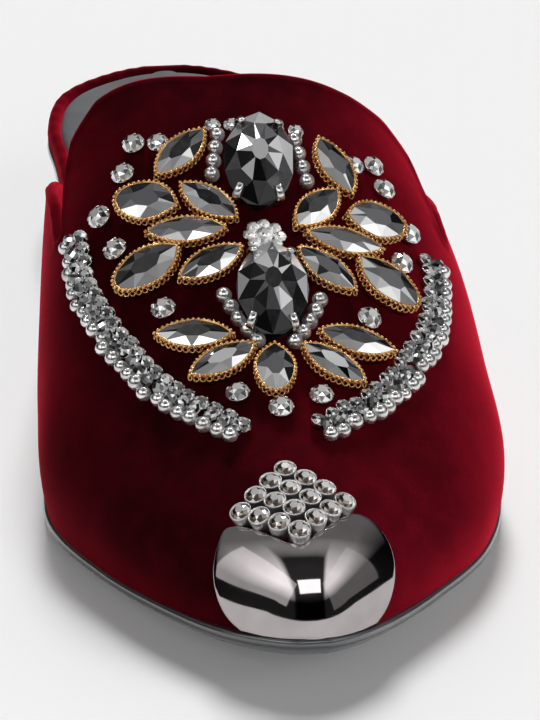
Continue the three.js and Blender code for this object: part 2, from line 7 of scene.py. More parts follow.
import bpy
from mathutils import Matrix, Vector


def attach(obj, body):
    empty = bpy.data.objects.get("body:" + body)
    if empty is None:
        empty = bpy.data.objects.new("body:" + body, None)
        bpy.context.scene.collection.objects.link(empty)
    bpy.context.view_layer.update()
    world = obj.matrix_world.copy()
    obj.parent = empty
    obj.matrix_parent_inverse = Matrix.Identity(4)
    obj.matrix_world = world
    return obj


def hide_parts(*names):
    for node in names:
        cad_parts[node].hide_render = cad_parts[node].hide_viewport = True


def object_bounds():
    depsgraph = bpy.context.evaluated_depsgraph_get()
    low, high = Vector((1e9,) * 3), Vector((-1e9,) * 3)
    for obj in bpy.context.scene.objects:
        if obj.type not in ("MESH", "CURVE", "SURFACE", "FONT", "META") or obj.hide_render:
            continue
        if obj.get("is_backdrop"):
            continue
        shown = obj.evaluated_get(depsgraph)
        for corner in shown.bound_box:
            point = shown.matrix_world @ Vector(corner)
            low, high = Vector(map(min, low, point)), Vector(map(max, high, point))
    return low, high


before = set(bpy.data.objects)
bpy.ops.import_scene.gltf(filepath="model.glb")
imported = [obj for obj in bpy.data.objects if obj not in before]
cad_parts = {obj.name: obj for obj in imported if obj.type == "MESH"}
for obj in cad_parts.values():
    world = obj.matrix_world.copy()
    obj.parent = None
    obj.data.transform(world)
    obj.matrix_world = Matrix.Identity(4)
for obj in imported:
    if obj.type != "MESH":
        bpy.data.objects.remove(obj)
cad_box = [list(corner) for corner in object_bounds()]
print("frame:", len(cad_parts), "solids")

# %% Modules
import math

import bmesh
import bpy
import numpy as np
from mathutils import Vector
from mathutils.kdtree import KDTree

# %% [markdown]
# ## The last
# A shoe is pulled over a last, a wooden foot. A few sections of it, joined by smooth curves, give every
# face of this shoe, so velvet, lining, toe cap and stones can all be worked out from one function.
# A subdivided cage would do too, but then each stone would have to be fitted to it by hand.
# The sizes are millimetres, with y measured back from the toe tip, as in the solids.

# %% Driving sizes of the last and the sole
MM = 0.001
LENGTH = 262.0
GAP = 0.3
SOLE_THICK = 3.4
TOE_SPRING = 5.0
TREAD_FROM = 62.0
TREAD_TO = 112.0
HEEL_RISE = 15.0
SEAT_FROM = 204.0
TOE_LEDGE = 2.2
LEDGE_FADE = 45.0
TAIL_END = 188.0
SLIT_END = 104.0
WALL = 2.2
FRAME_MIDDLE = np.array([1.0406, 131.0, 0.0])


def columns(names, *rows):
    """A short table with named columns."""
    return dict(zip(names, np.array(rows, float).T))


LAST = columns(
    ("from_toe", "inner", "outer", "crest", "lean", "square"),
    (0, 0, 0, 0, 0, 2),
    (3, 8.4, 7.8, 9, 0, 2),
    (10, 16.3, 15.2, 15, 0, 2),
    (24, 25.1, 25.6, 21, -0.5, 2.05),
    (44, 35, 37.8, 28, -1, 2.15),
    (66, 42.1, 44.1, 37, -2, 2.35),
    (88, 41.2, 44.6, 47, -3.5, 2.6),
    (110, 38.4, 44.2, 58, -5, 2.9),
    (130, 35.6, 41.4, 67, -5.5, 3),
    (155, 32, 37, 79, -4, 2.8),
    (185, 28.8, 31.6, 88, -3, 2.4),
    (210, 28.4, 29, 92, -2, 2.3),
    (228, 28.6, 28.2, 94, -1, 2.2),
    (246, 24.3, 23.2, 94, 0, 2.2),
    (257, 14.1, 13.4, 94, 0, 2.2),
    (262, 0, 0, 94, 0, 2.2),
)
print("last:", len(LAST["from_toe"]), "sections over", LENGTH, "mm")


# %% Curves along the last
def station_angle(y):
    return np.arccos(np.clip(1 - 2 * np.asarray(y, float) / LENGTH, -1, 1))


def station_at(angle):
    return LENGTH / 2 * (1 - np.cos(angle))


def along_last(name):
    """A smooth curve through one column of the last, close set at toe and heel so that both are round."""
    knots = station_angle(LAST["from_toe"])
    values = LAST[name]
    ahead = np.minimum(np.arange(len(knots)) + 1, len(knots) - 1)
    behind = np.maximum(np.arange(len(knots)) - 1, 0)
    slopes = (values[ahead] - values[behind]) / (knots[ahead] - knots[behind])

    def at(y):
        x = np.clip(station_angle(y), knots[0], knots[-1])
        i = np.clip(np.searchsorted(knots, x) - 1, 0, len(knots) - 2)
        span = knots[i + 1] - knots[i]
        t = (x - knots[i]) / span
        start = values[i] * (1 + 2 * t) * (1 - t) ** 2 + slopes[i] * span * t * (1 - t) ** 2
        end = values[i + 1] * t * t * (3 - 2 * t) + slopes[i + 1] * span * t * t * (t - 1)
        return start + end

    return at


inner_edge = along_last("inner")
outer_edge = along_last("outer")
crest_height = along_last("crest")
crest_lean = along_last("lean")
arch_square = along_last("square")
print("widest:", round(float(inner_edge(TREAD_FROM) + outer_edge(TREAD_FROM)), 1), "mm of sole")


# %% Heights of the sole
def smooth(t):
    t = np.clip(t, 0, 1)
    return t * t * (3 - 2 * t)


def unit(v):
    return v / np.maximum(np.linalg.norm(v, axis=-1, keepdims=True), 1e-12)


def ledge_at(y):
    return TOE_LEDGE * (1 - smooth(y / LEDGE_FADE))


def sole_bottom(y):
    spring = TOE_SPRING * np.maximum(0, 1 - y / TREAD_FROM) ** 2
    return spring + HEEL_RISE * smooth((y - TREAD_TO) / (SEAT_FROM - TREAD_TO))


def sole_top(y):
    return sole_bottom(y) + SOLE_THICK


print("sole at the heel seat:", float(sole_top(SEAT_FROM)), "mm over the floor")

# %% The upper's face
FEATHER_INSET = 0.5
FEATHER_BY = 3.0
BULGE = 2.2
BULGE_BY = 45.0
STEP_Y = 0.05
STEP_SIGNED = 0.002
ON_THE_SOLE = 0.999


def upper(y, signed):
    """A point of the velvet: signed is -1 at the inner edge, 0 on the crest and +1 at the outer edge."""
    y, signed = np.broadcast_arrays(np.asarray(y, float), np.asarray(signed, float))
    station = np.maximum(y - ledge_at(y), 0)
    turn = np.pi / 2 * (1 - np.abs(signed))
    square = arch_square(station)
    cosine = np.maximum(np.cos(turn), 0)
    sine = np.maximum(np.sin(turn), 0)
    reach = (cosine**square + sine**square) ** (-1 / square)
    across = reach * cosine
    up = reach * sine
    edge = np.where(signed < 0, inner_edge(station), outer_edge(station))
    half = edge - FEATHER_INSET * np.minimum(1, station / FEATHER_BY)
    swell = BULGE * smooth(station / BULGE_BY) * 4 * up * (1 - up)
    x = np.where(signed < 0, -1, 1) * (half + swell) * across + crest_lean(station) * up * up
    return np.stack([x, y, sole_top(y) + GAP + crest_height(station) * up], -1)


def upper_normal(y, signed):
    """The way out of the velvet, from its two tangents; level where it stands on the sole."""
    y, signed = np.broadcast_arrays(np.asarray(y, float), np.asarray(signed, float))
    along = upper(y + STEP_Y, signed) - upper(np.maximum(y - STEP_Y, TOE_LEDGE + 0.02), signed)
    across = upper(y, np.minimum(signed + STEP_SIGNED, 1)) - upper(y, np.maximum(signed - STEP_SIGNED, -1))
    out = unit(np.cross(across, along))
    level = np.where(np.abs(signed)[..., None] > ON_THE_SOLE, [1.0, 1.0, 0.0], [1.0, 1.0, 1.0])
    return unit(out * level)


print("tongue:", np.round(upper(125.0, 0.0), 1), "mm")


# %% [markdown]
# ## Meshes from grids
# Each skin here is a grid of points, rows by columns, and a few small helpers turn grids into meshes.
# A learner could draw them with the Grid primitive and move vertices, but from arrays it is one step.

# %% Faces between rows
def grid_faces(rows, count, ring=False):
    """Quads between neighbouring rows; ring joins the last column to the first."""
    faces = []
    for r in range(rows - 1):
        for c in range(count if ring else count - 1):
            d = (c + 1) % count
            a = r * count
            b = a + count
            faces.append((a + c, a + d, b + d, b + c))
    return faces


# %% Meshes and pieces
def to_frame(points, middle=FRAME_MIDDLE):
    return (np.asarray(points, float).reshape(-1, 3) - middle) * MM


def make_mesh(name, points, faces, smooth_faces=True, merge=0.0, middle=FRAME_MIDDLE):
    """A mesh from millimetres about that middle; merge joins points closer than so many millimetres."""
    mesh = bpy.data.meshes.new(name)
    mesh.from_pydata(to_frame(points, middle).tolist(), [], faces)
    if merge > 0:
        work = bmesh.new()
        work.from_mesh(mesh)
        bmesh.ops.remove_doubles(work, verts=work.verts, dist=merge * MM)
        work.to_mesh(mesh)
        work.free()
    mesh.polygons.foreach_set("use_smooth", [smooth_faces] * len(mesh.polygons))
    mesh.update()
    return mesh


def add_object(name, data):
    made = bpy.data.objects.new(name, data)
    bpy.context.scene.collection.objects.link(made)
    return made


def make_piece(name, mesh, finish, slot, *nodes):
    """An object of the shoe: it rides on the one body, and stands for the solids that are named."""
    piece = add_object(name, mesh)
    mesh.materials.clear()
    mesh.materials.append(finish)
    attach(piece, "root")
    if nodes:
        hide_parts(*nodes)
    mesh.calc_loop_triangles()
    print(f"{name}: {len(mesh.loop_triangles)} triangles")


# %% [markdown]
# ## Shader maths
# A finish varies over the surface: nap, smudges, worn edges. Wiring Math nodes by hand is long, so a small
# class wraps a socket and lets Python's own signs add the nodes. Everything else comes from one method.
# What is the same all over a piece is set straight on the shader's socket.

# %% Nodes of any tree
def plug(tree, socket, value):
    """A link where another socket is given, or else a plain value; a colour gets its alpha."""
    value = getattr(value, "socket", value)
    if isinstance(value, bpy.types.NodeSocket):
        tree.links.new(value, socket)
    elif socket.type == "RGBA":
        socket.default_value = (*value, 1.0)
    else:
        socket.default_value = value


def add_node(tree, kind, settings, sockets, output=0):
    """One node: its settings come first, then its inputs; the result is one of its outputs."""
    made = tree.nodes.new(kind)
    for key, value in settings.items():
        setattr(made, key, value)
    for key, value in sockets.items():
        plug(tree, made.inputs[key], value)
    return made.outputs[output]


# %% Sockets as numbers
class Shade:
    """A socket of a material, for sums that read as plain Python."""

    def __init__(self, finish, socket):
        self.finish = finish
        self.socket = socket

    def math(self, operation, first, second):
        return self.finish.node("ShaderNodeMath", {"operation": operation}, {0: first, 1: second})

    def __add__(self, other):
        return self.math("ADD", self, other)

    def __radd__(self, other):
        return self.math("ADD", other, self)

    def __rsub__(self, other):
        return self.math("SUBTRACT", other, self)

    def __mul__(self, other):
        return self.math("MULTIPLY", self, other)

    def __rmul__(self, other):
        return self.math("MULTIPLY", other, self)

    def __pow__(self, other):
        return self.math("POWER", self, other)


# %% Materials on the Principled shader
EVEN = (1.0, 1.0, 1.0)


class Finish:
    """A material, with its constants on the shader's own sockets."""

    def __init__(self, name, **constants):
        self.material = bpy.data.materials.new(name)
        self.material.use_nodes = True
        self.tree = self.material.node_tree
        self.shader = self.tree.nodes["Principled BSDF"]
        for key, value in constants.items():
            self.feed(key.replace("_", " ").title().replace("Ior", "IOR"), value)

    def feed(self, socket, value):
        plug(self.tree, self.shader.inputs[socket], value)

    def node(self, kind, settings, sockets, output=0):
        return Shade(self, add_node(self.tree, kind, settings, sockets, output))

    def noise(self, size, detail=2.0, stretch=EVEN):
        """Soft noise whose lumps are about that many millimetres across."""
        place = self.node("ShaderNodeTexCoord", {}, {}, "Object")
        place = self.node("ShaderNodeMapping", {}, {"Vector": place, "Scale": stretch})
        sockets = {"Vector": place, "Scale": 1 / (size * MM), "Detail": detail}
        return self.node("ShaderNodeTexNoise", {}, sockets)

    def between(self, value, low, high):
        return self.node("ShaderNodeMapRange", {}, {"Value": value, "From Min": low, "From Max": high})

    def attribute(self, name):
        return self.node("ShaderNodeAttribute", {"attribute_name": name}, {}, "Fac")

    def mix(self, factor, first, second):
        return self.node("ShaderNodeMix", {"data_type": "RGBA"}, {0: factor, 6: first, 7: second}, 2)

    def bump(self, height, strength, depth):
        sockets = {"Height": height, "Strength": strength, "Distance": depth * MM}
        return self.node("ShaderNodeBump", {}, sockets)


# %% [markdown]
# ## Finishes
# Velvet is dark when you look into the pile and bright where you look along it. A Layer Weight node,
# which knows how far a face is turned away, mixes a deep red with crimson as painted sheen, and a little
# real sheen goes on top.
# The sole is dressed to a shine, so its edge picks up the pale floor. Metals are smooth and slightly
# smudged. The stones are backed with foil: part mirror, cut into facets, each with its own painted
# reflection.

# %% Velvet
def velvet_finish():
    sheen = {"sheen_weight": 0.22, "sheen_roughness": 0.25, "sheen_tint": (0.95, 0.03, 0.07)}
    f = Finish("velvet", specular_ior_level=0.02, **sheen)
    nap = f.between(f.noise(21, 4.0, (1.0, 0.6, 1.0)), 0.36, 0.68)
    brushed = f.between(f.noise(5.0, 5.0), 0.42, 0.72)
    pile = f.noise(0.5)
    facing = f.node("ShaderNodeLayerWeight", {}, {"Blend": 0.5}, "Facing")
    deep = f.mix(nap, (0.010, 0.0004, 0.0012), (0.026, 0.0008, 0.0026))
    deep = f.mix(0.55 * brushed * pile, deep, (0.10, 0.002, 0.007))
    # Painted sheen: this crimson is mixed into the colour where the face turns away from the view.
    edge = f.mix(pile, (0.26, 0.0034, 0.013), (0.38, 0.0050, 0.019))
    f.feed("Base Color", f.mix(0.92 * facing ** (2.4 - 0.5 * nap), deep, edge))
    f.feed("Roughness", 0.75 + 0.2 * pile)
    f.feed("Normal", f.bump(pile, strength=0.25, depth=0.2))
    return f.material


velvet = velvet_finish()
print("velvet:", len(velvet.node_tree.nodes), "nodes")


# %% Lining, rubber, heel cover and thread
def plain_finish(name, colours, patch, grain, rough, bump, **constants):
    """Patches of two colours under a fine grain, which also roughens the surface."""
    f = Finish(name, **constants)
    size, detail, low, high = patch
    fine = f.noise(*grain)
    f.feed("Base Color", f.mix(f.between(f.noise(size, detail), low, high), *colours))
    f.feed("Roughness", rough[0] + rough[1] * fine)
    f.feed("Normal", f.bump(fine, *bump))
    return f.material


lining = plain_finish(
    "lining",
    colours=((0.105, 0.106, 0.112), (0.14, 0.141, 0.148)),
    patch=(18, 3.0, 0.3, 0.7),
    grain=(0.6, 3.0),
    rough=(0.62, 0.2),
    bump=(0.35, 0.12),
    specular_ior_level=0.15,
)
rubber = plain_finish(
    "rubber",
    colours=((0.030, 0.031, 0.036), (0.060, 0.062, 0.070)),
    patch=(9, 4.0, 0.5, 0.8),
    grain=(0.8, 3.0),
    rough=(0.26, 0.14),
    bump=(0.15, 0.1),
    specular_ior_level=0.9,
    coat_weight=0.9,
    coat_roughness=0.14,
    coat_ior=1.8,
)
heel_cover = plain_finish(
    "heel_cover",
    colours=((0.010, 0.010, 0.011), (0.022, 0.021, 0.023)),
    patch=(1.1, 4.0, 0.0, 1.0),
    grain=(1.1, 4.0),
    rough=(0.42, 0.15),
    bump=(0.25, 0.15),
    coat_weight=0.25,
    coat_roughness=0.3,
)
thread = Finish("dark_thread", roughness=0.7, sheen_weight=0.3)
thread.feed("Base Color", thread.mix(thread.noise(0.5), (0.012, 0.012, 0.014), (0.03, 0.03, 0.034)))
dark_thread = thread.material
print("plain finishes:", lining.name, rubber.name, heel_cover.name, dark_thread.name)


# %% Metals
def metal_finish(name, dark, light, rough, lump, wave=0.0, metallic=1.0):
    f = Finish(name, metallic=metallic)
    smudge = f.between(f.noise(lump, 4.0), 0.3, 0.75)
    f.feed("Base Color", f.mix(smudge, light, dark))
    f.feed("Roughness", rough + rough * smudge)
    f.feed("Normal", f.bump(f.noise(2 * lump, 1.0), wave, 0.3))
    return f.material


gunmetal = metal_finish("gunmetal", (0.40, 0.365, 0.37), (0.50, 0.46, 0.465), rough=0.04, lump=7.0, wave=0.12)
gold = metal_finish("gold", (0.52, 0.22, 0.065), (1.0, 0.63, 0.27), rough=0.17, lump=1.3)
silver = metal_finish("silver", (0.60, 0.595, 0.59), (0.92, 0.91, 0.90), rough=0.16, lump=2.2)
bead_colours = ((0.42, 0.417, 0.414), (0.98, 0.975, 0.97))
bead_silver = metal_finish("bead_silver", *bead_colours, rough=0.15, lump=2.2, metallic=0.9)
pewter = metal_finish("pewter", (0.58, 0.57, 0.57), (0.80, 0.79, 0.79), rough=0.26, lump=3.0)
print("metals:", gunmetal.name, gold.name, silver.name, bead_silver.name, pewter.name)


# %% Cut stones
def stone_finish(name, dark, middle, light, metallic=0.65):
    """Foil-backed facets with painted reflections: 0 paints a facet dark and 1 paints it as a flash of light.
    """
    gloss = {"specular_ior_level": 0.3, "coat_weight": 0.2, "coat_roughness": 0.02}
    f = Finish(name, roughness=0.06, metallic=metallic, **gloss)
    tone = f.attribute("tone")
    # Painted reflections: the facet attribute picks a dark, middle or flashing light colour for each facet.
    body = f.mix(f.between(tone + 0.2 * f.noise(1.6), 0.26, 0.72), dark, middle)
    f.feed("Base Color", f.mix(f.between(tone, 0.64, 0.95), body, light))
    return f.material


smoke_stone = stone_finish("smoke_stone", (0.012, 0.012, 0.013), (0.22, 0.22, 0.23), (0.97, 0.97, 0.98))
pale_stone = stone_finish("pale_stone", (0.03, 0.03, 0.031), (0.55, 0.55, 0.55), (0.97, 0.97, 0.96))
toe_stone = stone_finish("champagne_stone", (0.02, 0.014, 0.011), (0.31, 0.25, 0.21), (0.98, 0.96, 0.94))
bead_stone = stone_finish("bead_stone", (0.018, 0.018, 0.019), (0.40, 0.40, 0.405), (0.97, 0.97, 0.97))
white_stone = stone_finish("white_stone", (0.20, 0.20, 0.20), (0.80, 0.80, 0.79), (0.98, 0.98, 0.97), 0.3)
print("stones:", smoke_stone.name, pale_stone.name, toe_stone.name, bead_stone.name, white_stone.name)

# %% [markdown]
# ## The velvet upper
# The real upper is cut from velvet with a cloth lining, and its edge is turned in all round:
# along the quarters, into the slits and round the tongue. Solidify would thicken a sheet, but here the
# rounded edge is part of the grid, so the face, the turned edge and the lining meet without a seam.
# The turned edge is thicker than the rest, so the velvet rolls up a little along it.

# %% Shape of the edge
TOPLINE = columns(
    ("from_toe", "inner", "outer"),
    (TAIL_END, 0, 0),
    (TAIL_END, 0.02, 0.02),
    (171, 0.105, 0.095),
    (151, 0.235, 0.205),
    (135, 0.34, 0.295),
    (124, 0.405, 0.355),
    (118, 0.433, 0.38),
    (SLIT_END, 0.456, 0.403),
    (117, 0.48, 0.424),
    (124.5, 0.515, 0.443),
    (127.2, 0.62, 0.515),
    (125.7, 1, 1),
)
SLIT_ROW = 7
EDGE_SOFT = 0.007


def softened(curve, at, reach, count):
    """The mean of a curve over a short reach, which rounds its corners."""
    return np.mean([curve(at + nudge) for nudge in np.linspace(-reach, reach, count)], axis=0)


def topline(signed):
    """Where the upper ends at each column."""

    def end(column):
        inner = np.interp(column, TOPLINE["inner"], TOPLINE["from_toe"])
        outer = np.interp(column, TOPLINE["outer"], TOPLINE["from_toe"])
        return np.where(signed < 0, inner, outer)

    return softened(end, 1 - np.abs(signed), EDGE_SOFT, count=7)


print("tongue ends", round(float(topline(np.array(0.0))), 1), "mm from the toe")

# %% Grid of the upper
PLAIN_TO = 99.0
DRAW_FROM = 1.4
EDGE_STEPS = 9
SLIT_REACH = 0.07


def skin(signed, rear, shares, plain, lift, rim):
    """A shell on the last as one grid: out over the face, round the edge, and back along the inside."""
    share = np.asarray(shares)[:, None]
    near = TOE_LEDGE + (plain - TOE_LEDGE) * share**2
    far = plain + (rear(signed) - plain) * (share - 1)
    y = np.where(share <= 1, near, far)
    out = upper_normal(y, signed[None, :])
    face = upper(y, signed[None, :]) + lift * out
    back = unit(np.cross(out[-1], np.gradient(face[-1], axis=0)))
    draw = smooth((share - DRAW_FROM) / (2 - DRAW_FROM))[..., None]
    face = face - rim * draw * back
    bend = np.linspace(0, np.pi, EDGE_STEPS)[1:-1, None, None]
    turn = face[-1] + rim * ((np.cos(bend) - 1) * out[-1] + np.sin(bend) * back)
    inside = face - 2 * rim * out
    return face, turn, inside[::-1], out


slits = (-1 + TOPLINE["inner"][SLIT_ROW], 1 - TOPLINE["outer"][SLIT_ROW])
fine = np.concatenate([np.linspace(s - SLIT_REACH, s + SLIT_REACH, 71) for s in slits])
signed = np.unique(np.round(np.concatenate([np.linspace(-1, 1, 201), fine]), 4))
shares = np.concatenate([np.linspace(0.03, 1, 70), np.linspace(1.04, 2, 28)])
face, turn, inside, face_out = skin(signed, topline, shares, PLAIN_TO, 0.0, WALL / 2)
print("upper grid:", face.shape, "edge", turn.shape)

# %% Roll the edge and make the velvet
ROLL_HIGH = 0.3
ROLL_AT = 1.2
ROLL_WIDE = 1.1
PUCKER_HIGH = 0.04
PUCKER_REACH = 4
TURN_IN = 5
TUCK = 1.5
WELD = 0.001


def feather(rows, drop):
    """One more column along each lower edge, down to the sole and tucked in under the upper."""
    low = rows[:, [0, -1]] - [0, 0, drop]
    out = upper_normal(np.maximum(rows[:, [0, -1], 1], TOE_LEDGE + 0.1), np.array([[-1.0, 1.0]]))
    tuck = low - TUCK * out
    return np.concatenate([tuck[:, :1], low[:, :1], rows, low[:, 1:], tuck[:, 1:]], axis=1)


def distance_to(points, line):
    """How far each point is from the nearest point of a line."""
    tree = KDTree(len(line))
    for i, p in enumerate(line):
        tree.insert(p, i)
    tree.balance()
    return np.array([tree.find(p)[2] for p in points.reshape(-1, 3)]).reshape(points.shape[:-1])


edge_far = distance_to(face, turn[len(turn) // 2])
roll = ROLL_HIGH * np.exp(-(((edge_far - ROLL_AT) / ROLL_WIDE) ** 2))
ripple = np.sin(face[..., 1] * 1.1 + face[..., 0] * 0.9)
pucker = PUCKER_HIGH * ripple * np.exp(-((edge_far / PUCKER_REACH) ** 2))
face = face + (roll + pucker)[..., None] * face_out
velvet_grid = feather(np.concatenate([face, turn, inside[:TURN_IN]]), GAP)
velvet_mesh = make_mesh("upper_velvet", velvet_grid, grid_faces(*velvet_grid.shape[:2]), merge=WELD)
make_piece("upper_velvet", velvet_mesh, velvet, "velvet", "upper")

# %% The cloth lining inside
lining_rows = inside[TURN_IN - 1 :]
lining_mesh = make_mesh("upper_lining", lining_rows, grid_faces(*lining_rows.shape[:2]), merge=WELD)
make_piece("upper_lining", lining_mesh, lining, "sock", "upper")

# %% [markdown]
# ## Sole, heel and binding
# The outsole is a thin dark sheet, and its glossy bevelled edge mirrors the floor as a line of grey.
# The heel seat has no quarter round it, only a roll of velvet that binds the sock to the sole.
# All of these are lofts: rings drawn in from the outsole's outline, each at its own height. Extruding a
# filled curve would give the same sheet, but not an edge that changes with the toe spring and the arch.

# %% Rings of the outline
END_ANGLE = 0.07
NUDGE = 0.01
SEAT_BLEND = 6


def sole_ring(inset, height, start=0.0, count=150, ledge=0.0, seat=0.0):
    """Round the outline from the toe by the outer side to the heel, and back by the inner side."""
    angle = np.linspace(max(float(station_angle(start)), END_ANGLE), np.pi - END_ANGLE, count + 1)
    y = station_at(angle)

    def side(edge, sign):
        ahead = station_at(angle + NUDGE)
        behind = station_at(angle - NUDGE)
        tangent = unit(np.stack([edge(ahead) - edge(behind), ahead - behind], -1))
        inward = np.stack([-tangent[:, 1], tangent[:, 0]], -1)
        drawn = inset + ledge * ledge_at(y) - seat * smooth((y - TAIL_END + SEAT_BLEND) / SEAT_BLEND)
        at = np.stack([edge(y), y], -1) + inward * drawn[:, None]
        return np.stack([sign * at[:, 0], at[:, 1], height(at[:, 1])], -1)

    return np.concatenate([side(outer_edge, 1), side(inner_edge, -1)[::-1]])


def loft_mesh(name, rings):
    """Rings from below to above, closed at both ends by quads straight across."""
    rings = np.array(rings)
    rows, count = rings.shape[:2]
    faces = grid_faces(rows, count, ring=True)
    top = (rows - 1) * count
    for i in range(count // 2 - 1):
        faces.append((i + 1, i, count - 1 - i, count - 2 - i))
        faces.append((top + i, top + i + 1, top + count - 2 - i, top + count - 1 - i))
    return make_mesh(name, rings, faces)


# %% Outsole
SOLE_EDGE = (  # inset, and share of the thickness
    (3.2, 0.0), (2.4, 0.0), (2.1, 0.04), (0.5, 0.42), (0.12, 0.52),
    (0.0, 0.62), (0.04, 0.86), (0.25, 0.97), (0.8, 1.0),
)
sole_rings = []
for inset, share in SOLE_EDGE:
    sole_rings.append(sole_ring(inset, lambda y, s=share: sole_bottom(y) + SOLE_THICK * s))
make_piece("outsole_edge", loft_mesh("outsole_edge", sole_rings), rubber, "rubber", "outsole")

# %% Heel block and top lift
HEEL_BREAST = 208.0
HEEL_INSET = 4.5
HEEL_TAPER = 1.5
LIFT_THICK = 3.0


def heel_mesh(name, low, high, low_inset, high_inset, bevel):
    """A slice of the heel with softened rims and a straight front face."""
    levels = ((low, bevel), (low + bevel, 0.0), (high - bevel, 0.0), (high, bevel))
    rings = []
    for level, drawn in levels:
        share = (level - low) / (high - low)
        inset = low_inset + (high_inset - low_inset) * share + drawn
        ring = sole_ring(inset, lambda y, z=level: np.full_like(y, z), HEEL_BREAST, count=60)
        ring[[0, -1], 1] = HEEL_BREAST + drawn
        rings.append(ring)
    return loft_mesh(name, rings)


in_low = HEEL_INSET + HEEL_TAPER
block = heel_mesh("heel_cover", LIFT_THICK + GAP, HEEL_RISE - GAP, in_low, HEEL_INSET, bevel=0.3)
lift = heel_mesh("heel_lift", 0.0, LIFT_THICK, in_low, in_low, bevel=0.4)
make_piece("heel_cover", block, heel_cover, "heel", "heel_block")
make_piece("heel_lift", lift, rubber, "rubber", "top_lift")

# %% Velvet binding round the heel seat
BINDING_WIDTH = 2.9
BINDING_HEIGHT = 3.6
BINDING_WAVE = 0.06
BINDING_SECTION = (  # inset, and share of the height
    (0.4, 0.0), (0.12, 0.18), (0.08, 0.42), (0.2, 0.7), (0.5, 0.9), (1.0, 1.0), (1.6, 1.01), (2.2, 0.96),
    (2.6, 0.86), (BINDING_WIDTH, 0.6), (BINDING_WIDTH, 0.2), (BINDING_WIDTH - 0.2, 0.0),
)
lines = []
for inset, share in BINDING_SECTION[::-1]:
    height = lambda y, s=share: sole_top(y) + GAP + BINDING_HEIGHT * s
    lines.append(sole_ring(inset, height, TAIL_END + 2 * GAP, count=110))
binding_rings = np.swapaxes(np.array(lines), 0, 1)
wave = BINDING_WAVE * np.sin(np.arange(len(binding_rings)) * 0.9)
binding_rings[..., 2] += wave[:, None] * np.array(BINDING_SECTION)[None, ::-1, 1]
make_piece("seat_velvet", loft_mesh("seat_velvet", binding_rings), velvet, "velvet", "seat_binding")

# %% [markdown]
# ## The sock
# The sock is a grey sheet glued on a thin pad, with a row of dark stitches a few millimetres inside the
# binding. It is a grid from edge to edge; the pad crowns it a little, its rim rolls down, and the
# stitches pull a groove into it. Sculpting would do as well, but distances to two lines are exact.

# %% Sock lining
INSOLE_INSET = 4.2
INSOLE_THICK = 3.0
SOCK_STITCH_IN = 6.4
STITCH_FROM = 120.0
SEAT_SPREAD = 1.2
CROWN_HIGH = 0.5
CROWN_REACH = 18
RIM_DROP = 0.9
GROOVE_DEEP = 0.35
SOFT = 0.7
SKIRT_SHORT = 1.2


def sock_ring(inset, start):
    height = lambda y: sole_top(y) + GAP + INSOLE_THICK
    return sole_ring(inset, height, start, count=200, ledge=1.0, seat=SEAT_SPREAD)


sock_edge = sock_ring(INSOLE_INSET, 0.0)
sock_seam = sock_ring(INSOLE_INSET + SOCK_STITCH_IN, STITCH_FROM)
half = len(sock_edge) // 2
share = np.linspace(0, 1, 61)[None, :, None]
sock = sock_edge[half:][::-1][:, None] * (1 - share) + sock_edge[:half][:, None] * share
sock_far = distance_to(sock, sock_edge)
seam_far = distance_to(sock, sock_seam)
crown = CROWN_HIGH * smooth(sock_far / CROWN_REACH) - RIM_DROP * np.exp(-sock_far / SOFT)
pressed = -GROOVE_DEEP * np.exp(-((seam_far / SOFT) ** 2))
sock[..., 2] += crown + pressed
skirt = sock[:, [0, -1]] - [0, 0, INSOLE_THICK - SKIRT_SHORT]
sock = np.concatenate([skirt[:, :1], sock, skirt[:, 1:]], axis=1)
make_piece("sock", make_mesh("sock", sock, grid_faces(*sock.shape[:2])), lining, "sock", "insole")

# %% [markdown]
# ## Rows of small things
# Stitches, gold loops, beads and set crystals repeat along lines or sit at places, so Geometry Nodes make
# them. One tree follows lines and another sits on points. Each point carries the way out of the velvet, so
# a stitch lies flat and a cup stands up. The result is turned into a plain mesh, because an export
# has no instances.

# %% Trees for lines and for places
TREE_INPUTS = {
    "Geometry": "NodeSocketGeometry",
    "Shape": "NodeSocketObject",
    "Step": "NodeSocketFloat",
    "Tumble": "NodeSocketFloat",
    "Seed": "NodeSocketInt",
}


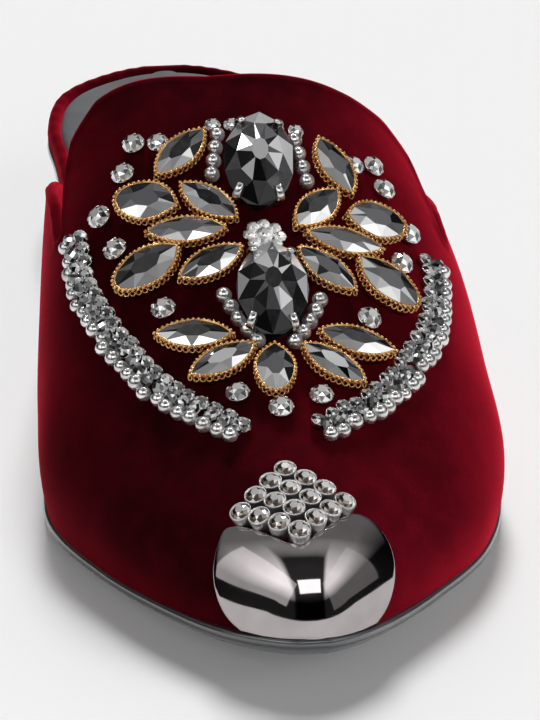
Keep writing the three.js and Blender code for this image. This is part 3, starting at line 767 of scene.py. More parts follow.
def repeat_tree(name, along_lines):
    """Sets a shape on every point, or at even steps along every line, upright on the way out."""
    tree = bpy.data.node_groups.new(name, "GeometryNodeTree")
    for socket, kind in TREE_INPUTS.items():
        tree.interface.new_socket(socket, in_out="INPUT", socket_type=kind)
    tree.interface.new_socket("Geometry", in_out="OUTPUT", socket_type="NodeSocketGeometry")
    given = tree.nodes.new("NodeGroupInput").outputs

    def node(kind, settings, sockets, output=0):
        return add_node(tree, kind, settings, sockets, output)

    def named(attribute, kind):
        return node("GeometryNodeInputNamedAttribute", {"data_type": kind}, {"Name": attribute})

    places = given["Geometry"]
    along = named("along", "FLOAT_VECTOR")
    if along_lines:
        curve = node("GeometryNodeMeshToCurve", {}, {"Mesh": places})
        sockets = {"Curve": curve, "Length": given["Step"]}
        places = node("GeometryNodeResampleCurve", {"mode": "LENGTH"}, sockets)
        along = node("GeometryNodeInputTangent", {}, {})
    align = "FunctionNodeAlignRotationToVector"
    lie = node(align, {"axis": "X"}, {"Vector": along})
    upright = {"Rotation": lie, "Vector": named("out", "FLOAT_VECTOR")}
    stand = node(align, {"axis": "Z", "pivot_axis": "X"}, upright)
    limits = {"Min": (-1, -1, -1), "Max": (1, 1, 1), "Seed": given["Seed"]}
    turn = node("FunctionNodeRandomValue", {"data_type": "FLOAT_VECTOR"}, limits)
    turn = node("ShaderNodeVectorMath", {"operation": "SCALE"}, {"Vector": turn, "Scale": given["Tumble"]})
    turn = node("FunctionNodeEulerToRotation", {}, {"Euler": turn})
    sockets = {"Rotation": stand, "Rotate By": turn}
    turn = node("FunctionNodeRotateRotation", {"rotation_space": "LOCAL"}, sockets)
    shape = node("GeometryNodeObjectInfo", {}, {"Object": given["Shape"]}, "Geometry")
    sockets = {"Points": places, "Instance": shape, "Rotation": turn, "Scale": named("size", "FLOAT")}
    made = node("GeometryNodeInstanceOnPoints", {}, sockets)
    made = node("GeometryNodeRealizeInstances", {}, {"Geometry": made})
    tree.links.new(made, tree.nodes.new("NodeGroupOutput").inputs["Geometry"])
    return tree


on_lines = repeat_tree("row_along_lines", True)
on_places = repeat_tree("one_at_each_place", False)
print("trees:", on_lines.name, on_places.name)


# %% Use a tree and keep a plain mesh
def grow(name, tree, points, edges, carried, shape, finish, slot, *nodes, step=1.0, tumble=0.0, seed=1):
    """Runs a tree over points in millimetres, and makes a piece of the plain mesh that comes out."""
    carrier_mesh = bpy.data.meshes.new(name)
    carrier_mesh.from_pydata(to_frame(points).tolist(), edges, [])
    for key, values in carried.items():
        kind, field = ("FLOAT", "value") if np.ndim(values) == 1 else ("FLOAT_VECTOR", "vector")
        layer = carrier_mesh.attributes.new(key, kind, "POINT")
        layer.data.foreach_set(field, np.asarray(values, np.float32).ravel())
    carrier = add_object(name + "_carrier", carrier_mesh)
    model = add_object(name + "_shape", shape)
    modifier = carrier.modifiers.new("rows", "NODES")
    modifier.node_group = tree
    values = {"Shape": model, "Step": step * MM, "Tumble": tumble, "Seed": seed}
    for item in tree.interface.items_tree:
        if item.in_out == "INPUT" and item.name in values:
            modifier[item.identifier] = values[item.name]
    view = bpy.context.evaluated_depsgraph_get()
    mesh = bpy.data.meshes.new_from_object(carrier.evaluated_get(view))
    mesh.name = name
    bpy.data.objects.remove(carrier)
    bpy.data.objects.remove(model)
    make_piece(name, mesh, finish, slot, *nodes)


def line_edges(count, first=0, ring=False):
    edges = [(first + i, first + i + 1) for i in range(count - 1)]
    if ring:
        edges.append((first + count - 1, first))
    return edges


# %% Small shapes
def capped(rows, count):
    """Quads between closed rings, with one face over each end."""
    last = (rows - 1) * count
    ends = [tuple(range(count))[::-1], tuple(range(last, last + count))]
    return grid_faces(rows, count, ring=True) + ends


def shape_mesh(name, rings, smooth_faces=True):
    """Rings about the shape's own Z axis, in millimetres, closed by a face at each end."""
    rings = np.array(rings)
    return make_mesh(name, rings, capped(*rings.shape[:2]), smooth_faces, middle=0.0)


def around(count):
    """Even angles round a circle."""
    return np.arange(count) / count * 2 * np.pi


def turned(profile, sides):
    """Rings from a profile of (radius, height), as on a lathe."""
    angle = around(sides)
    return [np.stack([r * np.cos(angle), r * np.sin(angle), np.full(sides, h)], -1) for r, h in profile]


def stitch_shape(length, width, sides=8):
    """A short stitch lying along X: pointed at both ends, round in section."""
    rings = []
    angle = around(sides)
    for share in (-0.5, -0.36, 0.0, 0.36, 0.5):
        radius = width / 2 * math.cos(share * 2.7)
        sag = -0.25 * width * abs(share) * 2
        x = np.full(sides, share * length)
        rings.append(np.stack([x, radius * np.cos(angle), sag + radius * np.sin(angle)], -1))
    return shape_mesh("stitch", rings)


# %% Stitches round the seat
STITCH_LONG = 2.3
STITCH_WIDE = 0.6
STITCH_STEP = 2.8
STITCH_UP = 0.32
line = sock_seam + [0, 0, STITCH_UP]
carried = {"out": np.tile([0.0, 0.0, 1.0], (len(line), 1)), "size": np.ones(len(line))}
stitch = stitch_shape(STITCH_LONG, STITCH_WIDE)
row = (line, line_edges(len(line)), carried)
grow("sock_stitches", on_lines, *row, stitch, dark_thread, "sock", step=STITCH_STEP)

# %% [markdown]
# ## The toe cap
# A polished dark metal shield is bent round the toe, with a notch at its top for the crystals. It is the
# same skin as the upper, lifted off the velvet, with its own edge and a thin rounded rim. Shrinkwrap could
# bend a flat shield too, but its rim would then need a second step.

# %% Toe cap
CAP_LIFT = 0.4
CAP_THICK = 0.9
CAP_SOFT = 0.025
CAP_EDGE = columns(
    ("signed", "from_toe"),
    (-1, 8), (-0.915, 10), (-0.74, 13.2), (-0.54, 17.2), (-0.45, 19.4), (-0.4, 20.2), (-0.35, 19.2),
    (-0.3, 17.4), (-0.255, 15.6), (-0.205, 13.7), (-0.14, 11.9), (-0.06, 11.2), (0, 11.6), (0.05, 13.1),
    (0.125, 14.6), (0.19, 16.9), (0.25, 18.9), (0.3, 19.8), (0.37, 19.7), (0.54, 17.0), (0.74, 13.2),
    (0.915, 10), (1, 8),
)


def cap_edge(signed):
    end = lambda column: np.interp(column, CAP_EDGE["signed"], CAP_EDGE["from_toe"])
    return softened(end, signed, CAP_SOFT, count=9)


cap_signed = np.linspace(-1, 1, 181)
cap_shares = 1 + np.linspace(0.04, 1, 48) ** 2
cap = skin(cap_signed, cap_edge, cap_shares, TOE_LEDGE, CAP_LIFT + CAP_THICK, CAP_THICK / 2)
cap_tip = np.array([0.0, TOE_LEDGE - CAP_LIFT - CAP_THICK, float(sole_top(TOE_LEDGE)) + GAP])
cap_grid = np.concatenate([np.tile(cap_tip, (1, len(cap_signed), 1)), *cap[:3]])
cap_mesh = make_mesh("toe_shield", cap_grid, grid_faces(*cap_grid.shape[:2]), merge=WELD)
make_piece("toe_shield", cap_mesh, gunmetal, "gunmetal", "toe_cap")

# %% [markdown]
# ## Places on the vamp
# The ornament is laid out on the velvet like a drawing on cloth: so far aside from its middle line, so far
# up from the toe. Walking those distances along the crest and then across the section gives the place,
# the way out, and the two directions in the cloth. That is all a stone needs to stand upright.

# %% From cloth to shoe
ORNAMENT_TURN = math.radians(5.4)
ORNAMENT_ASIDE = -4.5


def walked(points):
    """How far each point of a line is from its start, measured along the line."""
    return np.concatenate([[0], np.cumsum(np.linalg.norm(np.diff(points, axis=0), axis=1))])


crest_y = np.linspace(TOE_LEDGE + 0.01, 130, 1200)
crest_along = walked(upper(crest_y, 0.0))
section_signed = np.linspace(-0.97, 0.97, 389)


def cloth(aside, up):
    """The place on the velvet and the way out of it, for distances on the cloth."""
    along = up * math.cos(ORNAMENT_TURN) - aside * math.sin(ORNAMENT_TURN)
    across = ORNAMENT_ASIDE + aside * math.cos(ORNAMENT_TURN) + up * math.sin(ORNAMENT_TURN)
    y = np.interp(along, crest_along, crest_y)
    reach = walked(upper(y, section_signed))
    reach -= np.interp(0.0, section_signed, reach)
    at = np.interp(across, reach, section_signed)
    return upper(y, at), upper_normal(y, at)


print("middle of the ornament:", np.round(cloth(0, 98)[0], 1), "mm")


# %% Settings and trails
def setting(aside, up, turn=0.0):
    """Origin and axes of a stone: its long way, its wide way and the way out."""
    point, out = cloth(aside, up)
    outward = cloth(aside + 0.5, up)[0] - cloth(aside - 0.5, up)[0]
    outward = unit(outward - out * (outward @ out))
    upward = np.cross(out, outward)
    angle = math.radians(turn)
    long = outward * math.cos(angle) + upward * math.sin(angle)
    return point, long, np.cross(out, long), out


def trail(table, side, step):
    """Even steps along a line of the ornament: cloth distances and the direction beside the line."""
    knots = np.stack([side * table["aside"], table["up"]], -1)
    reach = walked(knots)
    at = np.linspace(0, reach[-1], int(round(reach[-1] / step)) + 1)
    line = np.stack([np.interp(at, reach, knots[:, k]) for k in (0, 1)], -1)
    for _ in range(6):
        line[1:-1] = (line[:-2] + 2 * line[1:-1] + line[2:]) / 4
    ahead = unit(np.gradient(line, axis=0))
    return line, np.stack([ahead[:, 1], -ahead[:, 0]], -1)


# %% [markdown]
# ## Cut stones
# A foil-backed stone is a ring of facets that steps up to a small table. Turning each ring by half a step
# makes the triangles that a cutter would grind. Every facet gets a painted reflection: some are painted as
# flashes of light and most are painted dark, as in the photograph; a glass shader would need many more
# samples to look like this.

# %% Cutting
def outline(place, angle):
    """Length and width of a stone's edge at an angle; a tip of 1 is pointed and 0 is round."""
    far = (1 + np.cos(angle)) / 2
    power = 1 + place["far_tip"] * far + place["near_tip"] * (1 - far)
    u = place["length"] / 2 * np.cos(angle)
    v = place["width"] / 2 * np.sign(np.sin(angle)) * np.abs(np.sin(angle)) ** power
    return u, v


def cut_stone(place, frame_axes, levels, sides):
    """Points and triangles of a stone: levels are shares of the outline against height, from below."""
    origin, long, wide, out = frame_axes
    points = []
    for k, (share, height) in enumerate(levels):
        u, v = outline(place, (np.arange(sides) + 0.5 * (k % 2)) / sides * 2 * np.pi)
        points.append(origin + share * (u[:, None] * long + v[:, None] * wide) + (GAP + height) * out)
    faces = [tuple(range(sides))[::-1]]
    for k in range(len(levels) - 1):
        a = k * sides
        b = a + sides
        for i in range(sides):
            j = (i + 1) % sides
            if k % 2 == 0:
                faces += [(a + i, a + j, b + i), (b + i, a + j, b + j)]
            else:
                faces += [(a + i, b + j, b + i), (a + i, a + j, b + j)]
    faces.append(tuple(range((len(levels) - 1) * sides, len(levels) * sides)))
    return np.concatenate(points), faces


def gather(parts):
    """Joins lists of points and faces into one."""
    points = []
    faces = []
    first = 0
    for part_points, part_faces in parts:
        points.append(part_points)
        faces += [tuple(i + first for i in f) for f in part_faces]
        first += len(part_points)
    return np.concatenate(points), faces


# %% Painted reflections of the facets
DARK_MOST = 0.64
FLASH_LEAST = 0.85
# Facets turned most toward these directions get the painted flashes of light.
TO_THE_TOE = (-0.1, -0.9, 0.1)
TO_THE_TONGUE = (0.1, 0.8, 0.2)
chance = np.random.default_rng(11)


def paint_reflections(mesh, flash, stones=1, toward=(0.0, 0.0, 0.0), mean=0.3, loose=0.7, crown=None):
    """A painted reflection for every facet: in each stone's crown, those most turned one way get a painted
    flash.
    """
    normals = np.array([polygon.normal for polygon in mesh.polygons])
    turned_to = normals @ np.array(toward)
    tone = np.clip(mean + 0.4 * turned_to + chance.random(len(normals)) - 0.5, 0, DARK_MOST)
    score = turned_to + loose * chance.random(len(normals))
    for part in np.array_split(np.arange(len(normals)), stones):
        part = part[-(crown or len(part)) :]
        lit = max(1, round(flash * len(part)))
        bright = FLASH_LEAST + (1 - FLASH_LEAST) * chance.random(lit)
        tone[part[np.argsort(score[part])[-lit:]]] = bright
    mesh.attributes.new("tone", "FLOAT", "FACE").data.foreach_set("value", tone.astype(np.float32))
    return mesh


# %% [markdown]
# ## Gold-edged stones
# Seventeen grey stones, marquise and pear shaped, spread like wings and petals. Each sits in a gold cup
# with a thin wire round the stone, a row of grains on the wire and a lace of little loops below it. The
# wire and the cup are lofts on the stone's own outline, and the grains and loops are set along it by the
# tree for lines. The facets that look to the toe get painted flashes of light.

# %% Layout of the gold-edged stones
GOLD_SHAPES = (
    "navette_1", "pear_1", "navette_2", "navette_3",
    "pear_2", "navette_4", "navette_5", "navette_6",
)
GOLD_PAIRS = columns(
    ("aside", "up", "length", "width", "turn", "inner_turn", "near_tip", "far_tip"),
    (14.4, 117.5, 14.6, 6.6, -57, -50, 0.7, 0.7),
    (21.2, 106.4, 12.6, 9.2, 20, 25, 0.9, 0),
    (10, 105, 13.6, 6.6, 58, 40, 0.7, 0.7),
    (14.5, 97.8, 15, 6.4, 3, 2, 0.7, 0.7),
    (22, 90.4, 14.6, 9.2, -30, -26, 0.9, 0),
    (10.6, 89.2, 14.2, 6.6, -38, -33, 0.7, 0.7),
    (14.7, 71.5, 14.6, 6.8, -3, 11, 0.7, 0.7),
    (9.9, 64.3, 14, 6.6, -33, -28, 0.7, 0.7),
)
GOLD_DROP = dict(aside=-0.7, up=61.8, length=12.6, width=7.4, turn=-90, near_tip=0.9, far_tip=0)
SIDES = ("inner", "outer")
gold_places = [(GOLD_DROP, setting(GOLD_DROP["aside"], GOLD_DROP["up"], GOLD_DROP["turn"]))]
for i in range(len(GOLD_SHAPES)):
    row = {key: float(values[i]) for key, values in GOLD_PAIRS.items()}
    gold_places.append((row, setting(row["aside"], row["up"], row["turn"])))
    gold_places.append((row, setting(-row["aside"], row["up"], 180 - row["inner_turn"])))
gold_nodes = ["gold_drop"] + [f"gold_{shape}_{side}" for shape in GOLD_SHAPES for side in SIDES]
print("gold-edged stones:", len(gold_places))

# %% Stones
GOLD_CUT = ((0.9, 1.2), (0.97, 2.0), (1.0, 2.8), (0.46, 3.6))
GOLD_SIDES = 8
GOLD_CROWN = 2 * GOLD_SIDES + 1
gems = gather([cut_stone(place, axes, GOLD_CUT, GOLD_SIDES) for place, axes in gold_places])
gem_mesh = make_mesh("gold_set_stones", *gems, smooth_faces=False)
paint_reflections(gem_mesh, 0.36, len(gold_places), toward=TO_THE_TOE, mean=0.3, loose=0.3, crown=GOLD_CROWN)
make_piece("gold_set_stones", gem_mesh, smoke_stone, "grey_stone", *gold_nodes)

# %% Cups and wires
CUP_WALL = ((0.90, -1.4), (0.92, 0.4), (0.95, 2.2), (0.96, 2.6), (0.93, 2.7), (0.88, 2.5), (0.30, 1.9))
WIRE_SHARE = 0.96
WIRE_AT = 2.7
WIRE_ROUND = 0.24
WIRE_SIDES = 8


def outline_loop(place, axes, share, height, count=56):
    """Points round a stone's outline, evenly spaced, with the way out from its middle."""
    origin, long, wide, out = axes
    u, v = outline(place, np.linspace(0, 2 * np.pi, 721))
    reach = walked(np.stack([u, v], -1))
    at = np.linspace(0, reach[-1], count, endpoint=False)
    u, v = np.interp(at, reach, u), np.interp(at, reach, v)
    aside = unit(np.stack([np.gradient(v), -np.gradient(u)], -1))
    beside = aside[:, :1] * long + aside[:, 1:] * wide
    loop = origin + share * (u[:, None] * long + v[:, None] * wide) + (GAP + height) * out
    return loop, beside


def cup_part(place, axes):
    rings = [outline_loop(place, axes, share, height)[0] for share, height in CUP_WALL]
    return np.concatenate(rings), capped(len(rings), len(rings[0]))


def wire_faces(rows, count):
    """Quads between closed rings, with the last ring joined to the first."""
    last = (rows - 1) * count
    closing = [(last + i, last + (i + 1) % count, (i + 1) % count, i) for i in range(count)]
    return grid_faces(rows, count, ring=True) + closing


def wire_part(place, axes):
    loop, beside = outline_loop(place, axes, WIRE_SHARE, WIRE_AT)
    rings = []
    for angle in around(WIRE_SIDES):
        rings.append(loop + WIRE_ROUND * (math.cos(angle) * beside + math.sin(angle) * axes[3]))
    return np.concatenate(rings), wire_faces(WIRE_SIDES, len(loop))


metal = gather([part(*place) for part in (cup_part, wire_part) for place in gold_places])
make_piece("gold_cups", make_mesh("gold_cups", *metal), gold, "gold", *gold_nodes)

# %% Lace of gold loops, and grains
LOOP_ROUND = 0.5
LOOP_WIRE = 0.2
LOOP_STEPS = 11
LOOP_SIDES = 5
LACE_STEP = 1.22
GRAIN_STEP = 1.0
GRAIN = ((0.18, -0.3), (0.39, -0.12), (0.39, 0.14), (0.18, 0.36))


def loop_shape():
    """A small ring of wire that stands on the line, facing outwards."""
    big = around(LOOP_STEPS)[:, None]
    small = -around(LOOP_SIDES)[None, :]
    radius = LOOP_ROUND + LOOP_WIRE * np.cos(small)
    z = np.broadcast_to(LOOP_WIRE * np.sin(small), (LOOP_STEPS, LOOP_SIDES))
    points = np.stack([radius * np.cos(big), radius * np.sin(big), z], -1)
    return make_mesh("loop", points, wire_faces(LOOP_STEPS, LOOP_SIDES), middle=0.0)


def around_stones(share, height, rise):
    """Lines round all the gold-edged stones: points, edges and ways out, for the tree."""
    points = []
    ways = []
    edges = []
    for place, axes in gold_places:
        loop, beside = outline_loop(place, axes, share, height)
        edges += line_edges(len(loop), sum(map(len, points)), ring=True)
        points.append(loop)
        ways.append(unit(beside + rise * axes[3]))
    points = np.concatenate(points)
    return points, edges, {"out": np.concatenate(ways), "size": np.ones(len(points))}


rows = around_stones(share=1.01, height=1.8, rise=0.5)
grow("gold_lace", on_lines, *rows, loop_shape(), gold, "gold", step=LACE_STEP)
rows = around_stones(share=1.02, height=2.65, rise=1.0)
grain = shape_mesh("grain", turned(GRAIN, sides=7))
grow("gold_grains", on_lines, *rows, grain, gold, "gold", step=GRAIN_STEP)

# %% [markdown]
# ## The two large stones
# Two large dark ovals lie on the middle line, each held by four silver claws that bend over its edge.
# They are cut in more steps than the small stones, and the claws are short bent strips. A curve with a
# bevel would make a claw too, but it couldn't be flat in section.

# %% Ovals
OVAL = dict(length=23.6, width=13.4, near_tip=0.0, far_tip=0.2)
OVAL_UP = (115.1, 81.6)
OVAL_CUT = ((0.84, -0.6), (1.02, 3.3), (1.02, 3.7), (0.66, 5.5), (0.24, 6.5))
OVAL_SIDES = 10
OVAL_CROWN = 4 * OVAL_SIDES + 1
oval_axes = [setting(0, up, 90) for up in OVAL_UP]
ovals = gather([cut_stone(OVAL, axes, OVAL_CUT, OVAL_SIDES) for axes in oval_axes])
oval_mesh = make_mesh("large_stones", *ovals, smooth_faces=False)
paint_reflections(oval_mesh, 0.3, len(OVAL_UP), toward=TO_THE_TONGUE, mean=0.34, loose=0.9, crown=OVAL_CROWN)
make_piece("large_stones", oval_mesh, smoke_stone, "grey_stone", "oval_stone_top", "oval_stone_low")

# %% Claws
CLAW_ANGLES = (38, 142, 218, 322)
CLAW_PATH = ((0.93, 0.0), (1.03, 2.4), (1.05, 3.6), (0.99, 4.6), (0.86, 5.3))
CLAW_BENDS = 3
CLAW_WIDE = 2.0
CLAW_THICK = 0.75
CLAW_SIDES = 8
CLAW_TAPER = 0.08
CLAW_TILT = 0.9
CLAW_FLAT = 0.6


def claw_part(axes, degrees):
    """A strip that climbs the stone's side and bends in over its edge."""
    origin, long, wide, out = axes
    u, v = outline(OVAL, np.array([math.radians(degrees)]))
    foot = u[0] * long + v[0] * wide
    beside = unit(np.cross(out, unit(foot)))
    rings = []
    for k, (share, height) in enumerate(CLAW_PATH):
        middle = origin + share * foot + (GAP + height) * out
        wide_here = CLAW_WIDE * (1 - CLAW_TAPER * k)
        thick = unit(foot) if k < CLAW_BENDS else unit(unit(foot) + CLAW_TILT * out)
        for angle in -(np.arange(CLAW_SIDES) + 0.5) / CLAW_SIDES * 2 * np.pi:
            flat = wide_here / 2 * np.sign(math.cos(angle)) * abs(math.cos(angle)) ** CLAW_FLAT
            rings.append(middle + flat * beside + CLAW_THICK / 2 * math.sin(angle) * thick)
    return np.array(rings), capped(len(CLAW_PATH), CLAW_SIDES)


claws = gather([claw_part(axes, angle) for axes in oval_axes for angle in CLAW_ANGLES])
make_piece("large_stone_claws", make_mesh("large_stone_claws", *claws), silver, "silver")

# %% [markdown]
# ## Crystals in cups
# Small round crystals are all alike: a cut stone in a turned cup on the toe, and in a low seat with four
# prongs on the vamp. Each shape is made once, and the tree for places sets it on the vamp, on the toe and
# in the white cluster in the middle. Copies placed by hand would have to be turned one by one.

# %% Cup, seat and crystal
CUP_PROFILE = ((0.80, -0.45), (0.94, 0.0), (0.98, 1.1), (0.98, 1.22), (0.94, 1.28), (0.86, 1.26), (0.82, 1.0))
CUP_GEM = ((0.55, 0.8), (0.88, 1.14), (0.66, 1.4), (0.36, 1.52))
SEAT_PROFILE = ((0.70, -0.4), (0.84, 0.0), (0.93, 0.3), (0.93, 0.4), (0.84, 0.46), (0.6, 0.3))
SEAT_GEM = ((0.55, 0.1), (0.93, 0.46), (0.66, 0.82), (0.36, 0.98))
PRONG_PATH = ((0.82, 0.2), (0.88, 0.44), (0.85, 0.58), (0.74, 0.70))
PRONG_CORNERS = ((-1, -1), (-1, 1), (1, 1), (1, -1))
PRONG_WIDE = 0.12
PRONG_THICK = 0.05


def brilliant(name, levels, flash, sides=8):
    """A round cut stone for a setting of one millimetre radius, its facets given painted reflections."""
    place = dict(length=2.0, width=2.0, near_tip=0.0, far_tip=0.0)
    axes = (np.array([0.0, 0.0, -GAP]), *np.eye(3))
    points, faces = cut_stone(place, axes, levels, sides)
    return paint_reflections(make_mesh(name, points, faces, smooth_faces=False, middle=0.0), flash)


def claw_seat(sides=16, prongs=4):
    """A low seat with prongs that bend over the stone."""
    parts = [(np.concatenate(turned(SEAT_PROFILE, sides)), capped(len(SEAT_PROFILE), sides))]
    for k in range(prongs):
        angle = (k + 0.5) / prongs * 2 * math.pi
        outward = np.array([math.cos(angle), math.sin(angle), 0.0])
        beside = PRONG_WIDE * np.array([-outward[1], outward[0], 0.0])
        across = PRONG_THICK * (outward + [0, 0, 0.5])
        points = []
        for reach, height in PRONG_PATH:
            middle = reach * outward + np.array([0, 0, height])
            points += [middle + a * beside + b * across for a, b in PRONG_CORNERS]
        parts.append((np.array(points), capped(len(PRONG_PATH), len(PRONG_CORNERS))))
    return make_mesh("claw_seat", *gather(parts), middle=0.0)


# %% Set crystals at places
SEAT_TURN = 22.5


def set_shapes(name, spots, size, shape, finish, slot, *nodes, **loose):
    """One shape at every spot over the velvet; size is one number or one for each spot."""
    points, outs, alongs = spots
    sizes = np.broadcast_to(np.asarray(size, float), (len(points),))
    carried = {"out": outs, "along": alongs, "size": sizes}
    grow(name, on_places, points, [], carried, shape, finish, slot, *nodes, **loose)


def set_crystals(name, spots, radius, seat, gem, finishes, *nodes, **loose):
    """Seats, and the stones in them."""
    set_shapes(name + "_seats", spots, radius, seat, finishes[0], "silver", *nodes, **loose)
    set_shapes(name, spots, radius, gem, finishes[1], "crystal", *nodes, **loose)


def on_cloth(places):
    """Points over the velvet with the way out and one way along it."""
    found = [setting(aside, up, SEAT_TURN) for aside, up in places]
    points = np.array([f[0] + GAP * f[3] for f in found])
    return points, np.array([f[3] for f in found]), np.array([f[1] for f in found])


# %% Crystals round the ornament
CRYSTALS = columns(
    ("across", "inner_aside", "inner_up", "outer_aside", "outer_up"),
    (3.2, 4.2, 126.4, 4.2, 126.4),
    (3.2, 7.9, 126.2, 7.9, 126.2),
    (4.2, 18.4, 121.8, 18.9, 121.2),
    (4.4, 23, 122.8, 23.2, 123.9),
    (4.6, 25.4, 116, 25, 118.6),
    (4.8, 30.8, 108.4, 29.6, 110),
    (4.8, 28.1, 98.8, 26.6, 99.8),
    (4.8, 20, 80.5, 18, 80.2),
    (4.6, 7.6, 56.9, 7.6, 56.9),
)
CRYSTAL_LOW = (0.0, 52.8, 4.8)
RADIUS_SHARE = 0.54
spots = [CRYSTAL_LOW]
for side, sign in zip(SIDES, (-1, 1)):
    spots += zip(sign * CRYSTALS[side + "_aside"], CRYSTALS[side + "_up"], CRYSTALS["across"])
crystal_nodes = ["crystal_low"] + [f"crystal_{i}_{side}" for i in range(1, 10) for side in SIDES]
places = on_cloth([(aside, up) for aside, up, _ in spots])
radii = [RADIUS_SHARE * across for _, _, across in spots]
seat = claw_seat()
gem = brilliant("vamp_gem", SEAT_GEM, flash=0.45)
finishes = (silver, pale_stone)
set_crystals("vamp_crystals", places, radii, seat, gem, finishes, *crystal_nodes, tumble=0.12, seed=3)

# %% Crystals over the toe cap
CUP_PITCH = 4.1
CUP_ROWS = 4
CUP_RADIUS = 2.14
CUPS_UP = 25.9
CUPS_CLOSE = 0.9
CUPS_ASIDE = 0.6
CUPS_TURN = math.radians(45 + 5.5)
cup_steps = (np.arange(CUP_ROWS) - (CUP_ROWS - 1) / 2) * CUP_PITCH
places = []
for a in cup_steps:
    for b in cup_steps:
        aside = CUPS_ASIDE + a * math.cos(CUPS_TURN) - b * math.sin(CUPS_TURN)
        places.append((aside, CUPS_UP + CUPS_CLOSE * (a * math.sin(CUPS_TURN) + b * math.cos(CUPS_TURN))))
places = on_cloth(places)
cup = shape_mesh("cup", turned(CUP_PROFILE, sides=18))
gem = brilliant("toe_gem", CUP_GEM, flash=0.4)
finishes = (pewter, toe_stone)
set_crystals("toe_crystals_set", places, CUP_RADIUS, cup, gem, finishes, "toe_crystals", tumble=0.04, seed=5)

# %% White cluster in the middle
CLUSTER_UP = 98.0
CLUSTER_RING = 2.85
CLUSTER_COUNT = 8
CLUSTER_RADII = [1.95] + [1.4] * CLUSTER_COUNT
cluster = (CLUSTER_RADII, seat, brilliant("white_gem", SEAT_GEM, flash=0.85), (silver, white_stone))
places = [(0.0, CLUSTER_UP)]
for angle in around(CLUSTER_COUNT):
    places.append((CLUSTER_RING * math.cos(angle), CLUSTER_UP + CLUSTER_RING * math.sin(angle)))
places = on_cloth(places)
set_crystals("white_cluster", places, *cluster, "centre_cluster", tumble=0.1, seed=7)

# %% [markdown]
# ## Strings and garlands
# Two short strings of silver beads run beside each large stone. A garland hangs down either side of the
# vamp, three abreast: silver beads outside, cut beads on the crest and set crystals inside. Each is a line
# on the cloth with beads at even steps, pushed a little out of place so that no two sit alike. A curve
# with an Array modifier would keep them all alike.

# %% Strings of silver beads
BEAD = 2.8
BEAD_LEAN = math.radians(76)
STRING_HIGH = columns(("aside", "up"), (7.3, 122.9), (7.8, 119.6), (8.4, 116), (8.9, 112.6))
STRING_LOW = columns(("aside", "up"), (8.8, 81.6), (8.2, 78.6), (6.9, 74.6), (5.4, 71.6), (3.4, 69.9))


def bead_shape(name, radius, flat, rows, sides, smooth_faces):
    """A bead about its own Z axis, round or cut in flat facets, with painted reflections on its facets."""
    lean = np.linspace(-1, 1, rows) * BEAD_LEAN
    profile = [(radius * math.cos(a), radius * flat * math.sin(a)) for a in lean]
    return paint_reflections(shape_mesh(name, turned(profile, sides), smooth_faces), 0.28)


def over_lines(lines, height):
    """Points that far over several lines of the cloth, with the way out and one way along it."""
    found = [cloth(aside, up) for line in lines for aside, up in line]
    points = np.array([point + (GAP + height) * out for point, out in found])
    outs = np.array([out for _, out in found])
    return points, outs, np.roll(outs, 1, axis=1)


lines = [trail(table, side, BEAD + 0.4)[0] for table in (STRING_HIGH, STRING_LOW) for side in (-1, 1)]
spots = over_lines(lines, BEAD / 2)
round_bead = bead_shape("round_bead", BEAD / 2 + 0.2, flat=0.95, rows=8, sides=12, smooth_faces=True)
string_nodes = [f"beads_{level}_{side}" for level in ("high", "low") for side in SIDES]
set_shapes("silver_beads", spots, 1.0, round_bead, bead_silver, "silver", *string_nodes, tumble=0.5, seed=2)

# %% Lines of the garlands
GARLAND_INNER = columns(
    ("aside", "up"),
    (37.1, 106.8), (37.9, 100.2), (34.6, 89), (30.7, 78.1), (26.6, 69),
    (21.7, 60.8), (16.6, 54.8), (11.5, 49.9), (8.2, 47.4),
)
GARLAND_OUTER = columns(
    ("aside", "up"),
    (34.3, 105.4), (35.1, 98.7), (31.7, 86.4), (27.5, 75), (23.2, 66.3),
    (18.2, 58.5), (13.3, 52.6), (9.5, 49.7), (7.4, 48),
)


def garland_row(outward, height, step, jitter):
    """Spots of one row on both garlands, that far outward from their lines and a little out of place."""
    lines = []
    for table, side in ((GARLAND_INNER, -1), (GARLAND_OUTER, 1)):
        line, beside = trail(table, side, step)
        lines.append(line - side * outward * beside)
    points, outs, alongs = over_lines(lines, height)
    return points + chance.normal(0, jitter, points.shape), outs, alongs


def any_sizes(spots, least, spread):
    return least + spread * chance.random(len(spots[0]))


print("garlands:", len(GARLAND_INNER["up"]), "and", len(GARLAND_OUTER["up"]), "knots")

# %% Garlands in three rows
GARLAND_GEM = 1.7
garland_nodes = ("garland_inner", "garland_outer")
spots = garland_row(outward=2.0, height=1.1, step=3.15, jitter=0.26)
sizes = any_sizes(spots, least=0.8, spread=0.24)
kind = (round_bead, bead_silver, "silver")
set_shapes("garland_silver", spots, sizes, *kind, *garland_nodes, tumble=0.6, seed=4)

spots = garland_row(outward=0.2, height=1.5, step=3.2, jitter=0.22)
cut_bead = bead_shape("cut_bead", 1.4, flat=0.9, rows=6, sides=8, smooth_faces=False)
sizes = any_sizes(spots, least=0.9, spread=0.22)
kind = (cut_bead, bead_stone, "smoke_crystal")
set_shapes("garland_beads", spots, sizes, *kind, *garland_nodes, tumble=1.2, seed=9)

spots = garland_row(outward=-1.7, height=0.6, step=3.5, jitter=0.12)
gem = brilliant("garland_gem", SEAT_GEM, flash=0.35)
finishes = (silver, bead_stone)
set_crystals("garland_crystals", spots, GARLAND_GEM, seat, gem, finishes, *garland_nodes, tumble=0.3, seed=6)

# %% [markdown]
# ## Floor, light and camera
# The shoe stands alone on a pale floor. The main light comes from low behind it, so that the shadow falls
# forward under the toe, and two weak ones without shadows fill the right side and the front. The panels,
# the window and the sparks are there only to be mirrored: they give the polished cap its bright patches
# with a dark gap between. The camera keeps the photograph's place in front of the toe, and a long lens
# frames the one shoe.

